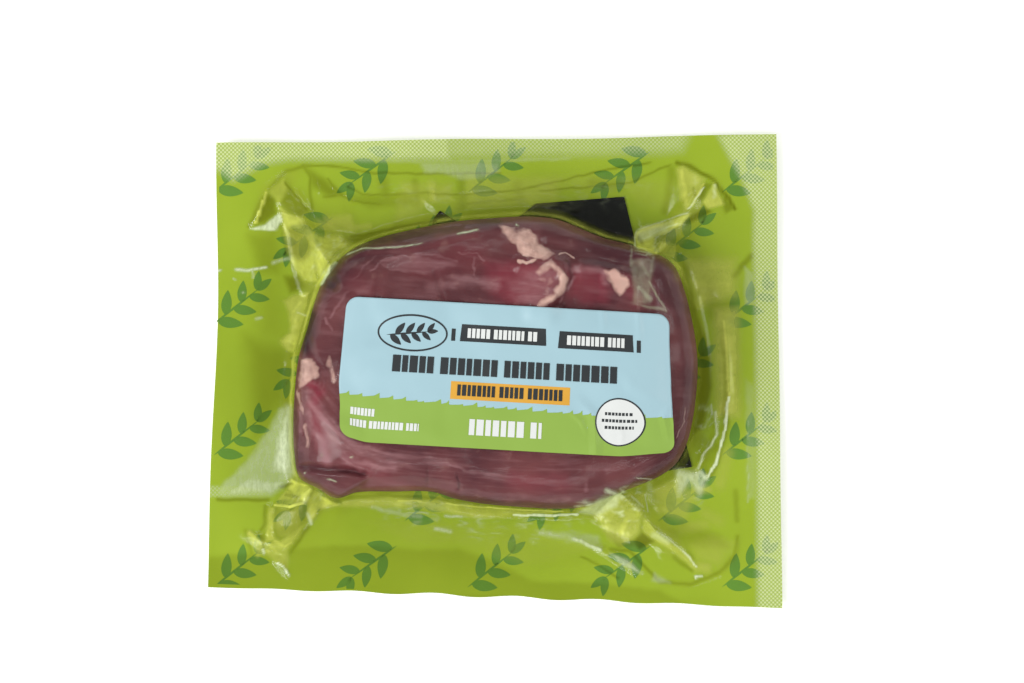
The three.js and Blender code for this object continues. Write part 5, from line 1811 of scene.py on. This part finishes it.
    def grass(self, bm: BMesh) -> None:
        """Adds the green field: its upper edge is a slow line with slanting tufts of seeded sizes."""
        draw = np.random.default_rng(61)
        us, vs, u = [], [], -self.length / 2
        while u < self.length / 2:
            share = (u + self.length / 2) / self.length
            base = self.edge_left + share * (self.edge_right - self.edge_left)
            base -= self.edge_sag * math.sin(math.pi * share)
            step, rise = draw.uniform(1.6, 4.6), draw.uniform(0.35, 1.25)
            us += [u, u + 0.7 * step, u + step, u + step + 0.06]
            vs += [base, base + 0.35 * rise, base + rise, base + draw.uniform(-0.1, 0.2)]
            u += step + 0.1
        low = -self.width / 2
        for vertex in bmesh.ops.create_grid(bm, x_segments=720, y_segments=24, size=1.0)["verts"]:
            spot, rise = vertex.co.x * self.length / 2, (vertex.co.y + 1) / 2
            vertex.co.x = spot * MM
            vertex.co.y = (low + rise * (float(np.interp(spot, us, vs)) - low)) * MM

    def paper(self, bm: BMesh) -> None:
        """Adds the paper's flat grid."""
        columns, lines = self.paper_faces
        for vertex in bmesh.ops.create_grid(bm, x_segments=columns, y_segments=lines, size=1.0)["verts"]:
            vertex.co.x *= self.length / 2 * MM
            vertex.co.y *= self.width / 2 * MM

    def dark_fields(self, bm: BMesh) -> None:
        """Adds the ribbons with their end tabs, the badge's oval and the seal's ring."""
        for ribbon in self.ribbons:
            self.block(bm, *ribbon)
        self.disc(bm, *self.badge, *self.badge_ring)
        self.disc(bm, *self.seal, *self.seal_ring)

    def rows(self, bm: BMesh, rows: tuple[Row, ...]) -> None:
        """Adds every block of the rows."""
        for row in rows:
            for u, size in row.blocks():
                self.block(bm, u, row.v, size, row.height)

    def build(self) -> None:
        """Makes the label and all that is printed on it."""
        bed = self.bed()
        for name, finish, layer, draw in (
            ("label_paper", self.blue, 0, self.paper),
            ("label_green", self.green, 1, self.grass),
            ("label_dark", self.dark, 2, self.dark_fields),
            ("label_badge", self.blue, 3, lambda bm: self.disc(bm, *self.badge, *self.badge_face)),
            (
                "label_badge_sprig", self.dark, 4,
                lambda bm: add_sprig(bm, *self.badge, *self.badge_sprig, self.badge_leaves),
            ),
            ("label_white", self.white, 3, lambda bm: self.disc(bm, *self.seal, *self.seal_face)),
            ("label_amber", self.amber, 1, lambda bm: self.block(bm, *self.banner)),
            ("label_dark_rows", self.dark, 4, lambda bm: self.rows(bm, self.dark_rows)),
            ("label_pale_rows", self.white, 4, lambda bm: self.rows(bm, self.pale_rows)),
        ):
            bm = bmesh.new()
            draw(bm)
            piece = mesh_piece(name, bm)
            self.lay(piece, bed, layer)
            if name == "label_paper":
                thicken(piece, self.thickness, -1.0)
                finish_piece(piece, finish.build(), "label", "label")
            else:
                finish_piece(piece, finish.build(), "label")


@dataclass(frozen=True)
class Lamp:
    """A soft rectangular lamp that points at the pack, its place and size in metres."""

    name: str
    place: tuple[float, float, float]
    size: tuple[float, float]
    power: float

    def build(self) -> None:
        """Adds the lamp to the scene."""
        light = bpy.data.lights.new(self.name, "AREA")
        light.shape = "RECTANGLE"
        light.size, light.size_y = self.size
        light.energy = self.power
        lamp = bpy.data.objects.new(self.name, light)
        lamp.location = self.place
        aim = -np.array(self.place)
        tilt = math.acos(-aim[2] / np.linalg.norm(aim))
        lamp.rotation_euler = (tilt, 0.0, math.atan2(aim[1], aim[0]) - math.pi / 2)
        bpy.context.scene.collection.objects.link(lamp)


@dataclass(frozen=True)
class Studio:
    """A pale floor, soft lamps and a camera that looks straight down."""

    centre: tuple[float, float] = (4.49, 7.97)
    pitch: float = 0.268
    image_width: int = 1024
    lens: float = 180.0
    sensor: float = 36.0
    nearest: float = 0.01
    world_light: float = 0.33
    floor_half: float = 3.0
    floor_drop: float = 0.05
    floor_colour: Colour = (0.93, 0.93, 0.93)
    floor_glow: float = 0.3
    lamps: tuple[Lamp, ...] = (
        Lamp("key", (-0.9, -0.5, 0.95), (0.8, 0.9), 19.0),
        Lamp("fill", (0.95, 0.25, 0.8), (0.5, 0.9), 5.5),
        Lamp("back", (-0.1, 1.05, 0.8), (1.0, 0.4), 3.2),
        Lamp("front", (0.2, -1.05, 0.8), (1.0, 0.4), 3.0),
    )

    def build(self) -> None:
        """Makes the floor, the lamps, the world light and the camera."""
        scene = bpy.context.scene
        scene.view_settings.view_transform = "Standard"
        bm = bmesh.new()
        bmesh.ops.create_grid(bm, x_segments=2, y_segments=2, size=self.floor_half)
        floor = mesh_piece("studio_floor", bm, False)
        move_vertices(floor.data, vertices(floor.data) - np.array([0, 0, self.floor_drop]))
        material, graph, output = new_material("studio_white")
        shader = graph.add("ShaderNodeBsdfPrincipled", Base_Color=self.floor_colour, Roughness=0.9)
        shader.inputs["Emission Color"].default_value = (1, 1, 1, 1)
        shader.inputs["Emission Strength"].default_value = self.floor_glow
        graph.feed(output.inputs["Surface"], shader.outputs[0])
        floor.data.materials.append(material)
        world = bpy.data.worlds.new("studio")
        world.use_nodes = True
        sky = world.node_tree.nodes["Background"]
        sky.inputs[0].default_value = (1, 1, 1, 1)
        sky.inputs[1].default_value = self.world_light
        scene.world = world
        for lamp in self.lamps:
            lamp.build()
        camera = bpy.data.cameras.new("camera")
        camera.lens = self.lens
        camera.sensor_width = self.sensor
        camera.clip_start = self.nearest
        eye = bpy.data.objects.new("camera", camera)
        height = self.image_width * self.pitch * self.lens / self.sensor
        eye.location = (self.centre[0] * MM, self.centre[1] * MM, height * MM)
        scene.collection.objects.link(eye)
        scene.camera = eye


def main() -> None:
    """Builds every piece in order."""
    logging.basicConfig(level=logging.INFO, format="%(name)s: %(message)s")
    shape = PackShape()
    Studio().build()
    BackingFilm(shape).build()
    LeafPrint(shape).build()
    pad = AbsorbentPad(shape)
    pad.build()
    steak = Steak(shape)
    steak.build()
    film = ClearFilm(shape, steak, pad)
    film.build()
    Label(shape, film).build()


if __name__ == "__main__":
    main()
